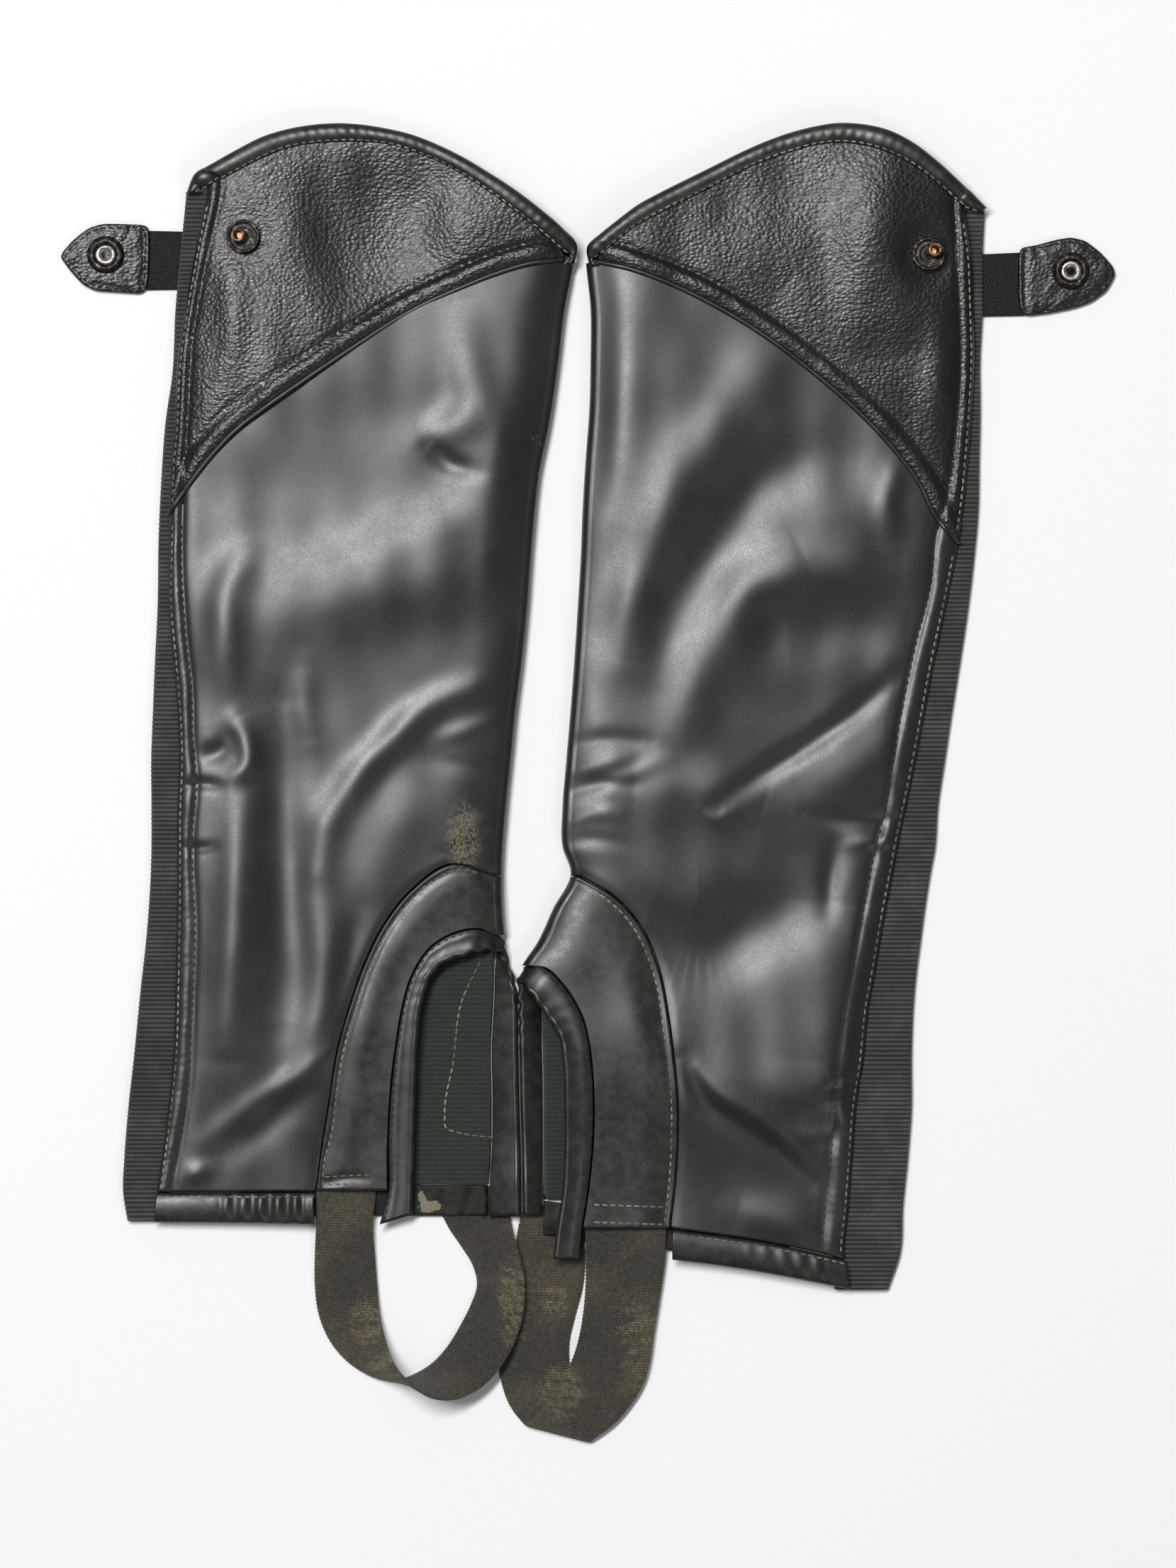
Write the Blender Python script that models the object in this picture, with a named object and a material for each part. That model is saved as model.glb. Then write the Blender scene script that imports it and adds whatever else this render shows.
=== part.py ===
"""A pair of half chaps for riding, laid flat side by side.

Each chap is a leather tube pressed flat. Its shin fold faces the other chap and its elastic edge faces
outwards. The hidden side of the tube lies flat on the surface at z = 0 and the visible side lies over it,
a few millimetres up, with its largest creases. Sizes are in millimetres here, and meshes are in metres.
"""

import math
from collections import namedtuple

import bmesh
import bpy
import numpy as np

MM = 0.001

# Thicknesses and clearances
WALL = 1.5  # leather of the leg panel, the top panel and the guard
GAP = 0.3  # between two pieces that are sewn together
FOLD_RADIUS = 3.7  # outside radius of the tube at the shin fold
SEAM_TOP = 5.6  # height of the visible leather where it is sewn to the elastic
TOP_EDGE_LIFT = 0.5  # how much higher the leather runs at the top of the leg
SWELL = 3.0  # how far the visible side bows up between the fold and the seam
KNIT = 1.0  # the lining
HIDDEN_HEM = (1.8, 3.0)  # lowest and highest point of the facing inside the foot opening
ELASTIC = 1.2
ELASTIC_TOP = 3.6
ELASTIC_UNDER_PANEL = 5.0
ELASTIC_HIDDEN = 14.0  # its width on the hidden side
ZIP = 1.4
ZIP_WIDTH = 26.0
ZIP_GAP = 0.9  # between its tape and the leather, where no stitch holds them flat
WEBBING = 1.3
TAB_WEBBING = 1.2
TAB = 2.8
PIPING_RADIUS = 1.0
PIPING_HALF_SEAM = PIPING_RADIUS + GAP

# Rolled bindings: the radius of the roll, half the thickness of the lip, and how far the middle of the
# roll lies below the top of the leather that it binds
Roll = namedtuple("Roll", "radius lip drop")
TOP_ROLL = Roll(2.3, 1.2, 0.6)
ARCH_ROLL = Roll(2.1, 1.2, 0.9)
HEM_ROLL = Roll(1.5, 1.0, 0.3)
FLAT_TAPE = 2.4  # the binding's flattened stretch on the hidden side

# Snap fastener
WASHER = (13.5, 1.4)  # diameter, height
POST = (5.5, 4.2)
SOCKET = (15.0, 8.0, 1.8)  # outer diameter, hole, height

# A cross-section of the tube at height y: the x of the elastic's outer edge, of the leather's rear edge
# and of the shin fold
Section = namedtuple("Section", "y edge seam fold")
# A crease: positive height is a ridge, negative is a trough
Crease = namedtuple("Crease", "height width line")
# One place along the stirrup strap: its rear edge and its front edge, both with the height of mid-webbing
Strap = namedtuple("Strap", "rear_x rear_y rear_z front_x front_y front_z")
# One place along the binding of the arch, its edge at the opening and its sewn lip. Layer 1 is the
# visible side and 0 the hidden side, and raised is the lift over the strap's sewn end
Bind = namedtuple("Bind", "edge_x edge_y lip_x lip_y layer raised")

Chap = namedtuple(
    "Chap",
    "name rearward sections creases top_edge top_lip panel_seam guard_edge arch hem_top hem_bottom "
    "hidden_hem strap sewn_y stud tab_webbing tab socket",
)

LEFT = Chap(
    name="left",
    rearward=-1,
    sections=[
        Section(236, -161.5, -153.0, -5.0),
        Section(210, -164.0, -158.2, -5.5),
        Section(190, -165.8, -161.7, -9.0),
        Section(165, -167.0, -165.0, -12.0),
        Section(145, -169.8, -165.8, -15.0),
        Section(125, -171.3, -167.5, -19.0),
        Section(100, -172.5, -168.0, -21.7),
        Section(70, -173.0, -168.3, -24.0),
        Section(50, -174.0, -166.5, -26.0),
        Section(30, -174.8, -164.8, -28.5),
        Section(10, -175.5, -164.0, -30.5),
        Section(-10, -175.4, -164.8, -32.5),
        Section(-30, -175.5, -164.9, -34.0),
        Section(-50, -176.5, -165.0, -34.0),
        Section(-65, -177.8, -165.2, -32.5),
        Section(-80, -179.5, -165.5, -29.5),
        Section(-110, -182.5, -166.5, -28.0),
        Section(-130, -184.7, -168.5, -28.0),
        Section(-150, -186.3, -171.0, -27.0),
        Section(-164, -186.8, -173.0, -27.0),
        Section(-175.5, -185.0, -174.5, -27.0),
    ],
    creases=[
        Crease(1.0, 11, [(-32, 122), (-50, 114), (-70, 107), (-92, 99), (-114, 95), (-138, 93)]),
        Crease(4.2, 25, [(-26, 92), (-56, 90), (-88, 83), (-116, 79)]),
        Crease(1.4, 24, [(-60, 202), (-100, 178), (-134, 152), (-160, 126)]),
        Crease(1.7, 6.5, [(-30, 37), (-50, 37), (-63, 31), (-77, 19), (-92, 3), (-103, -14), (-108, -34)]),
        Crease(1.7, 9, [(-104, -20), (-107, -45), (-105, -70), (-107, -90), (-112, -112), (-114, -135)]),
        Crease(-2.2, 10, [(-121, 30), (-123, -20), (-123, -60), (-124, -96)]),
        Crease(2.8, 13, [(-138, 2), (-138, -40), (-139, -72), (-142, -112)]),
        Crease(1.6, 6, [(-138, 92), (-145, 78), (-145, 60), (-144, 45), (-141, 28)]),
        Crease(-1.0, 6, [(-152, 88), (-152, 62), (-151, 40), (-149, 22)]),
        Crease(1.9, 10, [(-52, 194), (-49, 172), (-43, 156), (-36, 140), (-36, 124)]),
        Crease(1.3, 8, [(-66, 138), (-56, 142), (-44, 149)]),
        Crease(1.4, 14, [(-62, -2), (-78, -22), (-88, -48)]),
    ],
    top_edge=[
        (-161, 237), (-158, 244), (-150, 249), (-140, 254.5), (-130, 259.5), (-120, 262.5), (-110, 264.2),
        (-100, 264.8), (-90, 264.2), (-80, 262.5), (-70, 260), (-60, 256), (-50, 251), (-40, 245),
        (-30, 238.5), (-20, 231), (-10, 222.5), (-4.5, 216.5),
    ],
    top_lip=[
        (-157.5, 237.3), (-154, 239), (-149, 241), (-140, 245.5), (-130, 250.5), (-120, 254.5),
        (-110, 256.3), (-100, 257), (-90, 257), (-80, 256), (-70, 253), (-60, 249), (-50, 243.5),
        (-40, 237), (-30, 229.5), (-20, 221.5), (-11, 214.2), (-7, 211.2),
    ],
    panel_seam=[
        (-168, 108.5), (-164, 115), (-160, 120), (-150, 132.5), (-140, 142.5), (-130, 150), (-110, 164),
        (-90, 177.5), (-70, 190), (-50, 199), (-30, 206.5), (-20, 209), (-9.5, 210.3),
    ],
    guard_edge=[
        (-109, -163), (-108, -150), (-105.5, -141), (-103, -122), (-100, -105), (-95, -88), (-89, -71),
        (-82, -57), (-73, -45), (-63, -36.5), (-52, -31.8), (-42, -34), (-37.7, -36.7),
    ],
    arch=[
        Bind(-70.5, -172.5, -83.5, -176.5, 1, 0),
        Bind(-70.0, -160, -80.0, -163, 1, 0),
        Bind(-69.5, -145, -80.0, -145, 1, 0),
        Bind(-68.8, -120, -78.8, -122, 1, 0),
        Bind(-67.8, -100, -76.3, -102, 1, 0),
        Bind(-66.3, -88, -73.6, -87, 1, 0),
        Bind(-63.0, -77.5, -70.0, -76, 1, 0),
        Bind(-58.0, -72, -63.5, -66, 1, 0),
        Bind(-51.0, -69.5, -54.0, -60, 1, 0),
        Bind(-44.5, -67.5, -44.0, -58.2, 1, 0),
        Bind(-39.5, -67.0, -38.0, -59.8, 0.86, 0),
        Bind(-35.0, -68.5, -34.3, -62.5, 0.45, 0),
        Bind(-31.5, -73.0, -36.3, -67.5, 0.1, 0),
        Bind(-29.6, -78.0, -37.3, -75, 0, 0),
        Bind(-28.6, -85.0, -37.5, -84, 0, 0),
        Bind(-28.1, -105.0, -38.6, -105, 0, 0),
        Bind(-27.6, -130.0, -38.3, -130, 0, 0),
        Bind(-27.1, -147.0, -38.6, -147, 0, 0.2),
        Bind(-27.0, -157.0, -39.2, -157, 0, 1.75),
        Bind(-26.9, -173.5, -39.6, -173.5, 0, 1.75),
    ],
    hem_top=[(-173, -164), (-140, -163.9), (-109.9, -163.7)],
    hem_bottom=[(-174, -175.8), (-140, -176), (-109.9, -176.6)],
    hidden_hem=[(-140, -161.2), (-80, -161), (-40.4, -160.8), (-40.4, -173.5), (-80, -173.5), (-140, -173.5)],
    strap=[
        Strap(-109.0, -155.0, 4.7, -84.8, -155.0, 4.7),
        Strap(-109.0, -165.0, 4.6, -85.2, -165.0, 4.6),
        Strap(-109.2, -177.0, 3.4, -86.4, -177.0, 3.6),
        Strap(-109.8, -190.0, 1.7, -85.6, -190.0, 2.2),
        Strap(-109.7, -203.0, 0.9, -84.6, -203.0, 2.0),
        Strap(-108.0, -214.0, 0.8, -83.5, -213.5, 3.2),
        Strap(-103.0, -225.0, 0.8, -81.2, -223.0, 6.0),
        Strap(-94.5, -233.8, 1.0, -78.0, -231.0, 11.0),
        Strap(-84.5, -238.8, 1.2, -74.3, -236.0, 16.0),
        Strap(-76.0, -239.4, 1.4, -69.0, -240.8, 18.5),
        Strap(-69.0, -236.8, 1.4, -63.0, -244.8, 17.5),
        Strap(-62.5, -232.6, 1.3, -54.5, -246.2, 14.5),
        Strap(-56.5, -226.0, 1.2, -45.0, -243.0, 11.0),
        Strap(-51.0, -217.0, 1.0, -36.5, -235.5, 8.4),
        Strap(-47.0, -209.0, 0.9, -30.5, -226.0, 6.8),
        Strap(-44.6, -200.5, 0.8, -26.0, -212.5, 5.9),
        Strap(-46.5, -193.0, 0.8, -25.4, -201.0, 5.4),
        Strap(-51.5, -185.0, 0.8, -27.3, -189.5, 4.6),
        Strap(-56.5, -177.5, 0.7, -30.3, -179.0, 2.4),
        Strap(-59.2, -171.5, 0.65, -31.4, -172.5, 0.65),
        Strap(-59.5, -161.5, 0.65, -31.7, -161.5, 0.65),
    ],
    sewn_y=-163,
    stud=(-138, 219),
    tab_webbing=[(-165.4, 222.0), (-175.2, 222.3), (-175.2, 198.5), (-165.4, 198.8)],
    tab=[
        (-175.6, 224.5), (-185, 225), (-195, 225.2), (-201, 223.3), (-207, 218.5), (-211, 214), (-212, 211.5),
        (-208, 206), (-203, 200.5), (-198, 198), (-190, 197.5), (-176.5, 196.5),
    ],
    socket=(-193.7, 212.5),
)

RIGHT = Chap(
    name="right",
    rearward=1,
    sections=[
        Section(229, 159.3, 151.0, -1.0),
        Section(212, 158.5, 153.5, -1.0),
        Section(190, 158.5, 154.5, 1.0),
        Section(170, 157.5, 155.0, 1.0),
        Section(150, 157.6, 154.0, 0.5),
        Section(130, 157.2, 152.5, -1.0),
        Section(110, 156.8, 150.5, -2.2),
        Section(90, 155.0, 147.3, -3.0),
        Section(70, 152.6, 143.3, -4.2),
        Section(50, 149.6, 139.0, -5.5),
        Section(30, 146.4, 135.2, -7.0),
        Section(10, 143.4, 131.5, -8.7),
        Section(-10, 140.5, 127.4, -10.3),
        Section(-25, 139.5, 124.2, -10.3),
        Section(-36, 137.5, 122.2, -7.0),
        Section(-50, 135.3, 119.5, -14.0),
        Section(-63, 133.6, 117.2, -20.0),
        Section(-75, 132.0, 115.2, -27.5),
        Section(-90, 130.7, 112.5, -28.5),
        Section(-110, 130.0, 110.5, -27.5),
        Section(-130, 130.0, 107.5, -27.0),
        Section(-150, 128.5, 106.0, -26.5),
        Section(-170, 126.5, 104.5, -26.0),
        Section(-188, 125.5, 102.8, -26.0),
        Section(-203, 120.5, 104.0, -26.0),
    ],
    creases=[
        Crease(2.4, 13, [(14, 50), (21, 76), (30, 102), (40, 124), (51, 141), (63, 156), (72, 168)]),
        Crease(-2.0, 12, [(22, 42), (29, 62), (41, 82), (54, 100), (67, 118), (84, 130), (106, 131)]),
        Crease(2.2, 11, [(126, 86), (100, 86), (80, 84), (66, 77), (56, 62), (48, 44), (38, 22)]),
        Crease(1.4, 18, [(122, 118), (100, 104), (84, 96)]),
        Crease(-1.2, 12, [(126, 62), (104, 62), (80, 60)]),
        Crease(1.8, 12, [(126, 18), (108, 6), (88, -6)]),
        Crease(1.8, 12, [(18, -3), (44, -2), (70, -10)]),
        Crease(-3.2, 16, [(22, -58), (46, -66), (68, -56), (88, -38)]),
        Crease(3.8, 24, [(20, -114), (60, -124), (96, -124), (134, -112)]),
        Crease(2.4, 24, [(104, -48), (102, -80), (98, -112)]),
        Crease(-2.2, 8, [(84, -141), (104, -138), (120, -132)]),
        Crease(1.8, 8, [(60, -171), (76, -175), (92, -182)]),
    ],
    top_edge=[
        (160, 231), (155, 236), (150, 240.5), (140, 249.5), (130, 257), (120, 262), (110, 264.3), (100, 264.8),
        (90, 263.3), (80, 260.7), (70, 257), (60, 252.5), (50, 247.5), (40, 242.5), (30, 237.5), (20, 232),
        (10, 224.5), (5, 220.5), (-0.3, 215.5),
    ],
    top_lip=[
        (156, 229.5), (151, 231), (147, 234), (140, 240), (130, 247.5), (120, 252.5), (110, 255.5),
        (100, 256.5), (90, 255.3), (80, 252.5), (70, 249), (60, 244.5), (50, 239), (40, 234), (30, 229),
        (20, 223.5), (10, 216), (6, 213), (2.6, 210.3),
    ],
    panel_seam=[
        (148.4, 96.5), (144, 101), (141, 104), (137, 113), (130, 124.5), (120, 137), (110, 147.5), (90, 165),
        (70, 180), (50, 192), (30, 201.5), (20, 205), (10, 208.5), (3.2, 209.4),
    ],
    guard_edge=[
        (33, -178), (35, -160), (36, -140), (35.5, -120), (33, -100), (30, -80), (25, -65), (20, -55.5),
        (10, -45), (0, -38.5), (-3.3, -37.2),
    ],
    arch=[
        Bind(-14.0, -190.3, -3.6, -190.3, 1, 0),
        Bind(-12.5, -178, -2.4, -178, 1, 0),
        Bind(-10.3, -163, -0.2, -164, 1, 0),
        Bind(-9.5, -145, 1.7, -146, 1, 0),
        Bind(-9.5, -130, 2.2, -130, 1, 0),
        Bind(-10.0, -112, 1.3, -112, 1, 0),
        Bind(-12.0, -100.5, -1.2, -97, 1, 0),
        Bind(-16.0, -94, -5.0, -88, 1, 0),
        Bind(-20.0, -88.5, -10.0, -80.6, 1, 0),
        Bind(-23.7, -83.5, -16.5, -74.3, 1, 0),
        Bind(-26.0, -80.3, -21.5, -72.0, 0.8, 0),
        Bind(-27.5, -79.8, -24.3, -73.5, 0.4, 0),
        Bind(-28.3, -83.0, -22.0, -79.5, 0.1, 0),
        Bind(-28.0, -89.0, -19.6, -87.5, 0, 0),
        Bind(-27.6, -105.0, -18.8, -105, 0, 0),
        Bind(-27.1, -130.0, -18.4, -130, 0, 0),
        Bind(-26.6, -147.0, -18.4, -147, 0, 0.2),
        Bind(-26.3, -162.0, -18.6, -162, 0, 1.75),
        Bind(-26.2, -173.0, -18.8, -173, 0, 1.75),
    ],
    hem_top=[(103, -191), (90, -187.7), (70, -183.7), (50, -180.7), (33.8, -178.6)],
    hem_bottom=[(104.8, -202.6), (90, -199.6), (70, -195.8), (50, -192.7), (33.8, -190.7)],
    hidden_hem=[
        (80, -180.5), (30, -173.8), (-18, -167.3), (-18, -181.3), (30, -187), (80, -193.8),
    ],
    strap=[
        Strap(31.6, -169.0, 4.5, -0.9, -169.0, 4.5),
        Strap(31.4, -179.0, 4.4, -1.0, -179.0, 4.4),
        Strap(31.0, -190.0, 3.4, -1.0, -190.0, 3.6),
        Strap(29.6, -201.0, 3.1, -1.0, -200.5, 3.2),
        Strap(28.0, -211.0, 3.1, -1.7, -210.0, 3.2),
        Strap(26.4, -221.0, 3.2, -3.2, -220.0, 3.4),
        Strap(25.0, -231.0, 3.3, -6.0, -230.0, 3.7),
        Strap(22.4, -240.5, 3.4, -10.4, -239.0, 4.0),
        Strap(17.0, -249.5, 3.4, -15.0, -246.8, 4.1),
        Strap(9.6, -257.8, 3.4, -19.4, -252.4, 4.1),
        Strap(2.4, -262.9, 3.3, -23.3, -256.0, 3.7),
        Strap(1.0, -264.2, 2.0, -25.0, -257.4, 2.2),
        Strap(-0.4, -263.0, 0.75, -26.6, -256.2, 0.75),
        Strap(-2.8, -256.5, 0.65, -30.6, -251.2, 0.65),
        Strap(-5.2, -246.0, 0.65, -34.0, -243.5, 0.65),
        Strap(-7.3, -235.0, 0.65, -35.6, -234.5, 0.65),
        Strap(-7.6, -225.0, 0.65, -35.0, -224.0, 0.65),
        Strap(-5.0, -213.0, 0.65, -33.0, -212.0, 0.65),
        Strap(-2.2, -202.0, 0.65, -31.0, -201.0, 0.65),
        Strap(-1.2, -190.0, 0.65, -29.4, -190.0, 0.65),
        Strap(-1.6, -180.0, 0.65, -28.4, -180.0, 0.65),
        Strap(-1.8, -169.5, 0.65, -25.8, -169.5, 0.65),
    ],
    sewn_y=-178,
    stud=(136.3, 212),
    tab_webbing=[(159.2, 212.8), (172.0, 213.6), (172.4, 188.2), (159.2, 187.8)],
    tab=[
        (172.6, 215.3), (180, 216.5), (188, 218.7), (194, 219.7), (200, 218.3), (206, 213.6), (211, 208),
        (212, 204.5), (208.5, 198), (202, 193.3), (196, 191.2), (186, 189), (173, 187.4),
    ],
    socket=(194, 206),
)


# ---- curves and surfaces -------------------------------------------------------------------------


def hermite(at, places, values):
    """A smooth curve through the values, read at the places asked for."""
    places, values, at = (np.asarray(v, float) for v in (places, values, at))
    slopes = np.gradient(values, places, axis=0)
    i = np.clip(np.searchsorted(places, at) - 1, 0, len(places) - 2)
    step = places[i + 1] - places[i]
    t = np.clip((at - places[i]) / step, 0, 1)
    if values.ndim > 1:
        step, t = step[:, None], t[:, None]
    return (
        (2 * t**3 - 3 * t**2 + 1) * values[i]
        + (t**3 - 2 * t**2 + t) * step * slopes[i]
        + (3 * t**2 - 2 * t**3) * values[i + 1]
        + (t**3 - t**2) * step * slopes[i + 1]
    )


def lengths(points):
    points = np.asarray(points, float)
    return np.concatenate([[0], np.cumsum(np.linalg.norm(np.diff(points, axis=0), axis=1))])


def evenly(points, count):
    """Evenly spaced points on the smooth curve through the given ones."""
    run = lengths(points)
    return hermite(np.linspace(0, run[-1], count), run, points)


def between(rows, steps):
    """The smooth curve through the rows, with the same number of steps in each interval."""
    rows = np.array(rows, float)
    run = lengths(rows)
    at = np.interp(np.arange((len(rows) - 1) * steps + 1) / steps, np.arange(len(rows)), run)
    return hermite(at, run, rows)


def beside(points, distance):
    """The path moved to its left."""
    points = np.asarray(points, float)
    along = np.gradient(points, axis=0)
    along /= np.linalg.norm(along, axis=1, keepdims=True)
    return points + distance * np.stack([-along[:, 1], along[:, 0]], axis=1)


def smoothstep(value):
    value = np.clip(value, 0, 1)
    return value * value * (3 - 2 * value)


def across(chap, y, column):
    """The x of one of the table's columns at height y."""
    rows = sorted(chap.sections)
    values = [getattr(row, column) for row in rows]
    return hermite(y, [row.y for row in rows], values)


def fold_centre(chap, y):
    """The x of the axis that the leather turns round at the shin fold."""
    return across(chap, y, "fold") + chap.rearward * FOLD_RADIUS


def crease_height(crease, x, y):
    """How much a crease adds at each place. It fades towards its ends."""
    line = evenly(crease.line, 24)
    run = lengths(line)
    nearest, along = np.full(x.shape, np.inf), np.zeros(x.shape)
    for start, end, before, after in zip(line[:-1], line[1:], run[:-1], run[1:]):
        way = end - start
        t = np.clip(((x - start[0]) * way[0] + (y - start[1]) * way[1]) / (way @ way), 0, 1)
        away = np.hypot(x - start[0] - t * way[0], y - start[1] - t * way[1])
        closer = away < nearest
        nearest = np.where(closer, away, nearest)
        along = np.where(closer, (before + t * (after - before)) / run[-1], along)
    fade = 0.35 + 0.65 * np.sin(math.pi * along)
    return crease.height * fade * np.exp(-((nearest / crease.width) ** 2))


def crown(chap, x, y):
    """The height of the visible leather's upper face."""
    x, y = np.broadcast_arrays(np.asarray(x, float), np.asarray(y, float))
    shape, x, y = x.shape, x.ravel(), y.ravel()
    fold, seam = fold_centre(chap, y), across(chap, y, "seam")
    rearwards = np.clip((x - fold) / (seam - fold), 0, 1)
    bow = SWELL * (1 - 0.65 * smoothstep((-95 - y) / 70)) * (1 - 0.4 * smoothstep((y - 170) / 80))
    height = 2 * FOLD_RADIUS + (SEAM_TOP - 2 * FOLD_RADIUS) * smoothstep(rearwards)
    height = height + bow * (1 - np.abs(2 * rearwards - 1) ** 8)
    height = height + TOP_EDGE_LIFT * smoothstep((y - 190) / 40) * rearwards
    relief = sum(crease_height(crease, x, y) for crease in chap.creases)
    flat_edges = smoothstep(rearwards / 0.12) * smoothstep((1 - rearwards) / 0.08)
    return (height + relief * flat_edges).reshape(shape)


def patch(upper, lower, rear, front):
    """A grid of plan points filling four edges: rows from upper to lower, columns from rear to front."""
    v = np.linspace(0, 1, len(rear))[:, None, None]
    u = np.linspace(0, 1, len(upper))[None, :, None]
    flat = (1 - v) * upper[None] + v * lower[None] + (1 - u) * rear[:, None] + u * front[:, None]
    corners = (1 - u) * ((1 - v) * upper[0] + v * lower[0]) + u * ((1 - v) * upper[-1] + v * lower[-1])
    return flat - corners


def visible(chap, plan, thickness=WALL, lift=0.0):
    """Upper and lower face of a piece of the visible side over these plan points."""
    top = crown(chap, plan[..., 0], plan[..., 1]) + lift
    return np.dstack([plan, top]), np.dstack([plan, top - thickness])


def hidden(plan, thickness=WALL, lowest=0.0):
    """Lower and upper face of a piece of the hidden side, flat on the surface."""
    low = np.full(plan.shape[:-1], lowest)
    return np.dstack([plan, low]), np.dstack([plan, low + thickness])


def turn(chap, heights, angles, thickness=WALL):
    """Outer and inner face round the shin fold: one row for each height, one column for each angle."""
    y = np.asarray(heights, float)[:, None] + 0 * angles[None]
    centre = fold_centre(chap, np.asarray(heights, float))[:, None]
    faces = []
    for radius in (FOLD_RADIUS, FOLD_RADIUS - thickness):
        x = centre - chap.rearward * radius * np.cos(angles)[None]
        faces.append(np.dstack([x, y, FOLD_RADIUS + radius * np.sin(angles)[None] + 0 * y]))
    return faces


# ---- solids --------------------------------------------------------------------------------------


def material(name, colour, roughness, metallic=0.0):
    made = bpy.data.materials.new(name)
    made.use_nodes = True
    shader = made.node_tree.nodes["Principled BSDF"]
    shader.inputs["Base Color"].default_value = (*colour, 1.0)
    shader.inputs["Roughness"].default_value = roughness
    shader.inputs["Metallic"].default_value = metallic
    return made


def solid(name, points, faces, finish):
    """One closed body with its faces pointing out."""
    mesh = bpy.data.meshes.new(name)
    mesh.from_pydata((np.asarray(points) * MM).tolist(), [], faces)
    shape = bmesh.new()
    shape.from_mesh(mesh)
    if shape.calc_volume(signed=True) < 0:
        bmesh.ops.reverse_faces(shape, faces=shape.faces)
    shape.to_mesh(mesh)
    shape.free()
    mesh.materials.append(finish)
    mesh.shade_smooth()
    mesh.set_sharp_from_angle(angle=math.radians(50))
    obj = bpy.data.objects.new(name, mesh)
    bpy.context.scene.collection.objects.link(obj)
    return obj


def sheet(name, outer, inner, finish):
    """A wall between two grids of points, closed all round its edge."""
    rows, columns = outer.shape[:2]
    other = rows * columns
    faces = []
    for r in range(rows - 1):
        for c in range(columns - 1):
            a, b = r * columns + c, (r + 1) * columns + c
            faces.append((a, a + 1, b + 1, b))
            faces.append((other + b, other + b + 1, other + a + 1, other + a))
    rim = [c for c in range(columns)]
    rim += [r * columns + columns - 1 for r in range(1, rows)]
    rim += [(rows - 1) * columns + c for c in range(columns - 2, -1, -1)]
    rim += [r * columns for r in range(rows - 2, 0, -1)]
    for a, b in zip(rim, rim[1:] + rim[:1]):
        faces.append((b, a, other + a, other + b))
    return solid(name, np.concatenate([outer.reshape(-1, 3), inner.reshape(-1, 3)]), faces, finish)


def loft(name, sections, finish):
    """A bar through closed sections, with flat ends."""
    stations, corners = sections.shape[:2]
    faces = [tuple(range(corners)), tuple(range(stations * corners - 1, (stations - 1) * corners - 1, -1))]
    for s in range(stations - 1):
        for k in range(corners):
            a, b = s * corners + k, s * corners + (k + 1) % corners
            faces.append((b, a, a + corners, b + corners))
    return solid(name, sections.reshape(-1, 3), faces, finish)


def slab(name, outline, lowest, highest, finish):
    """An upright prism on a plan outline."""
    rings = [[(x, y, z) for x, y in outline] for z in (lowest, highest)]
    return loft(name, np.array(rings, float), finish)


def turned(name, centre, profile, finish, steps=24):
    """A ring or a disc turned round an upright axis from a closed profile of radius and height."""
    x, y = centre
    points, faces = [], []
    for step in range(steps):
        angle = 2 * math.pi * step / steps
        points += [(x + r * math.cos(angle), y + r * math.sin(angle), z) for r, z in profile]
    count = len(profile)
    for step in range(steps):
        here, there = step * count, (step + 1) % steps * count
        for k in range(count):
            after = (k + 1) % count
            faces.append((here + k, here + after, there + after, there + k))
    return solid(name, points, faces, finish)


def disc(name, centre, diameter, lowest, highest, finish, steps=24):
    angles = np.linspace(0, 2 * math.pi, steps, endpoint=False)
    outline = [(centre[0] + diameter / 2 * math.cos(a), centre[1] + diameter / 2 * math.sin(a)) for a in angles]
    return slab(name, outline, lowest, highest, finish)


def rolled_edge(name, edge, lip, roll, finish):
    """A leather binding rolled over an edge. Edge and lip are the two sides of the strip, in 3-D."""
    middle = (edge + lip) / 2
    along = np.gradient(middle, axis=0)
    turns = np.radians([55, 95, 140, 180, 220, 265, 305])
    sections = []
    for start, end, way in zip(edge, lip, along):
        width = np.linalg.norm(end - start)
        outward = (end - start) / width
        up = np.cross(way, outward)
        up /= np.linalg.norm(up)
        profile = [(roll.radius * (1 + math.cos(t)), roll.radius * math.sin(t)) for t in turns]
        profile += [(width, -roll.lip), (width, roll.lip)]
        sections.append([start + outward * across_strip + up * high for across_strip, high in profile])
    return loft(name, np.array(sections), finish)


# ---- pieces of one chap --------------------------------------------------------------------------

ROUND_FOLD = np.radians([90, 45, 0, -45, -90])
COLUMNS = 14  # across the visible side, from the seam to the fold
HEM_COLUMNS = 4  # of these, the ones that end on the hem
ROWS = 19


def seam_line(chap, offset):
    """The seam between leg panel and top panel, moved down towards the foot."""
    return beside(evenly(chap.panel_seam, COLUMNS), chap.rearward * offset)


def lip_line(chap, offset=0.0):
    """The stitched lip of the top binding, moved down towards the foot."""
    return beside(evenly(chap.top_lip, COLUMNS + 4), chap.rearward * offset)


def visible_binds(chap):
    """The rows of the arch's binding that the guard is sewn to on the visible side."""
    return [row for row in chap.arch[1:] if row.layer == 1]


def guard_line(chap, offset=0.0):
    """The guard's outer edge, moved away from the arch."""
    return beside(evenly(chap.guard_edge, len(visible_binds(chap)) + 1), -chap.rearward * offset)


def zip_front(chap, y):
    """The x where the hidden leather starts, in front of the elastic and the zip."""
    return across(chap, y, "edge") - chap.rearward * (ELASTIC_HIDDEN + GAP + ZIP_WIDTH + ZIP_GAP)


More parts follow.
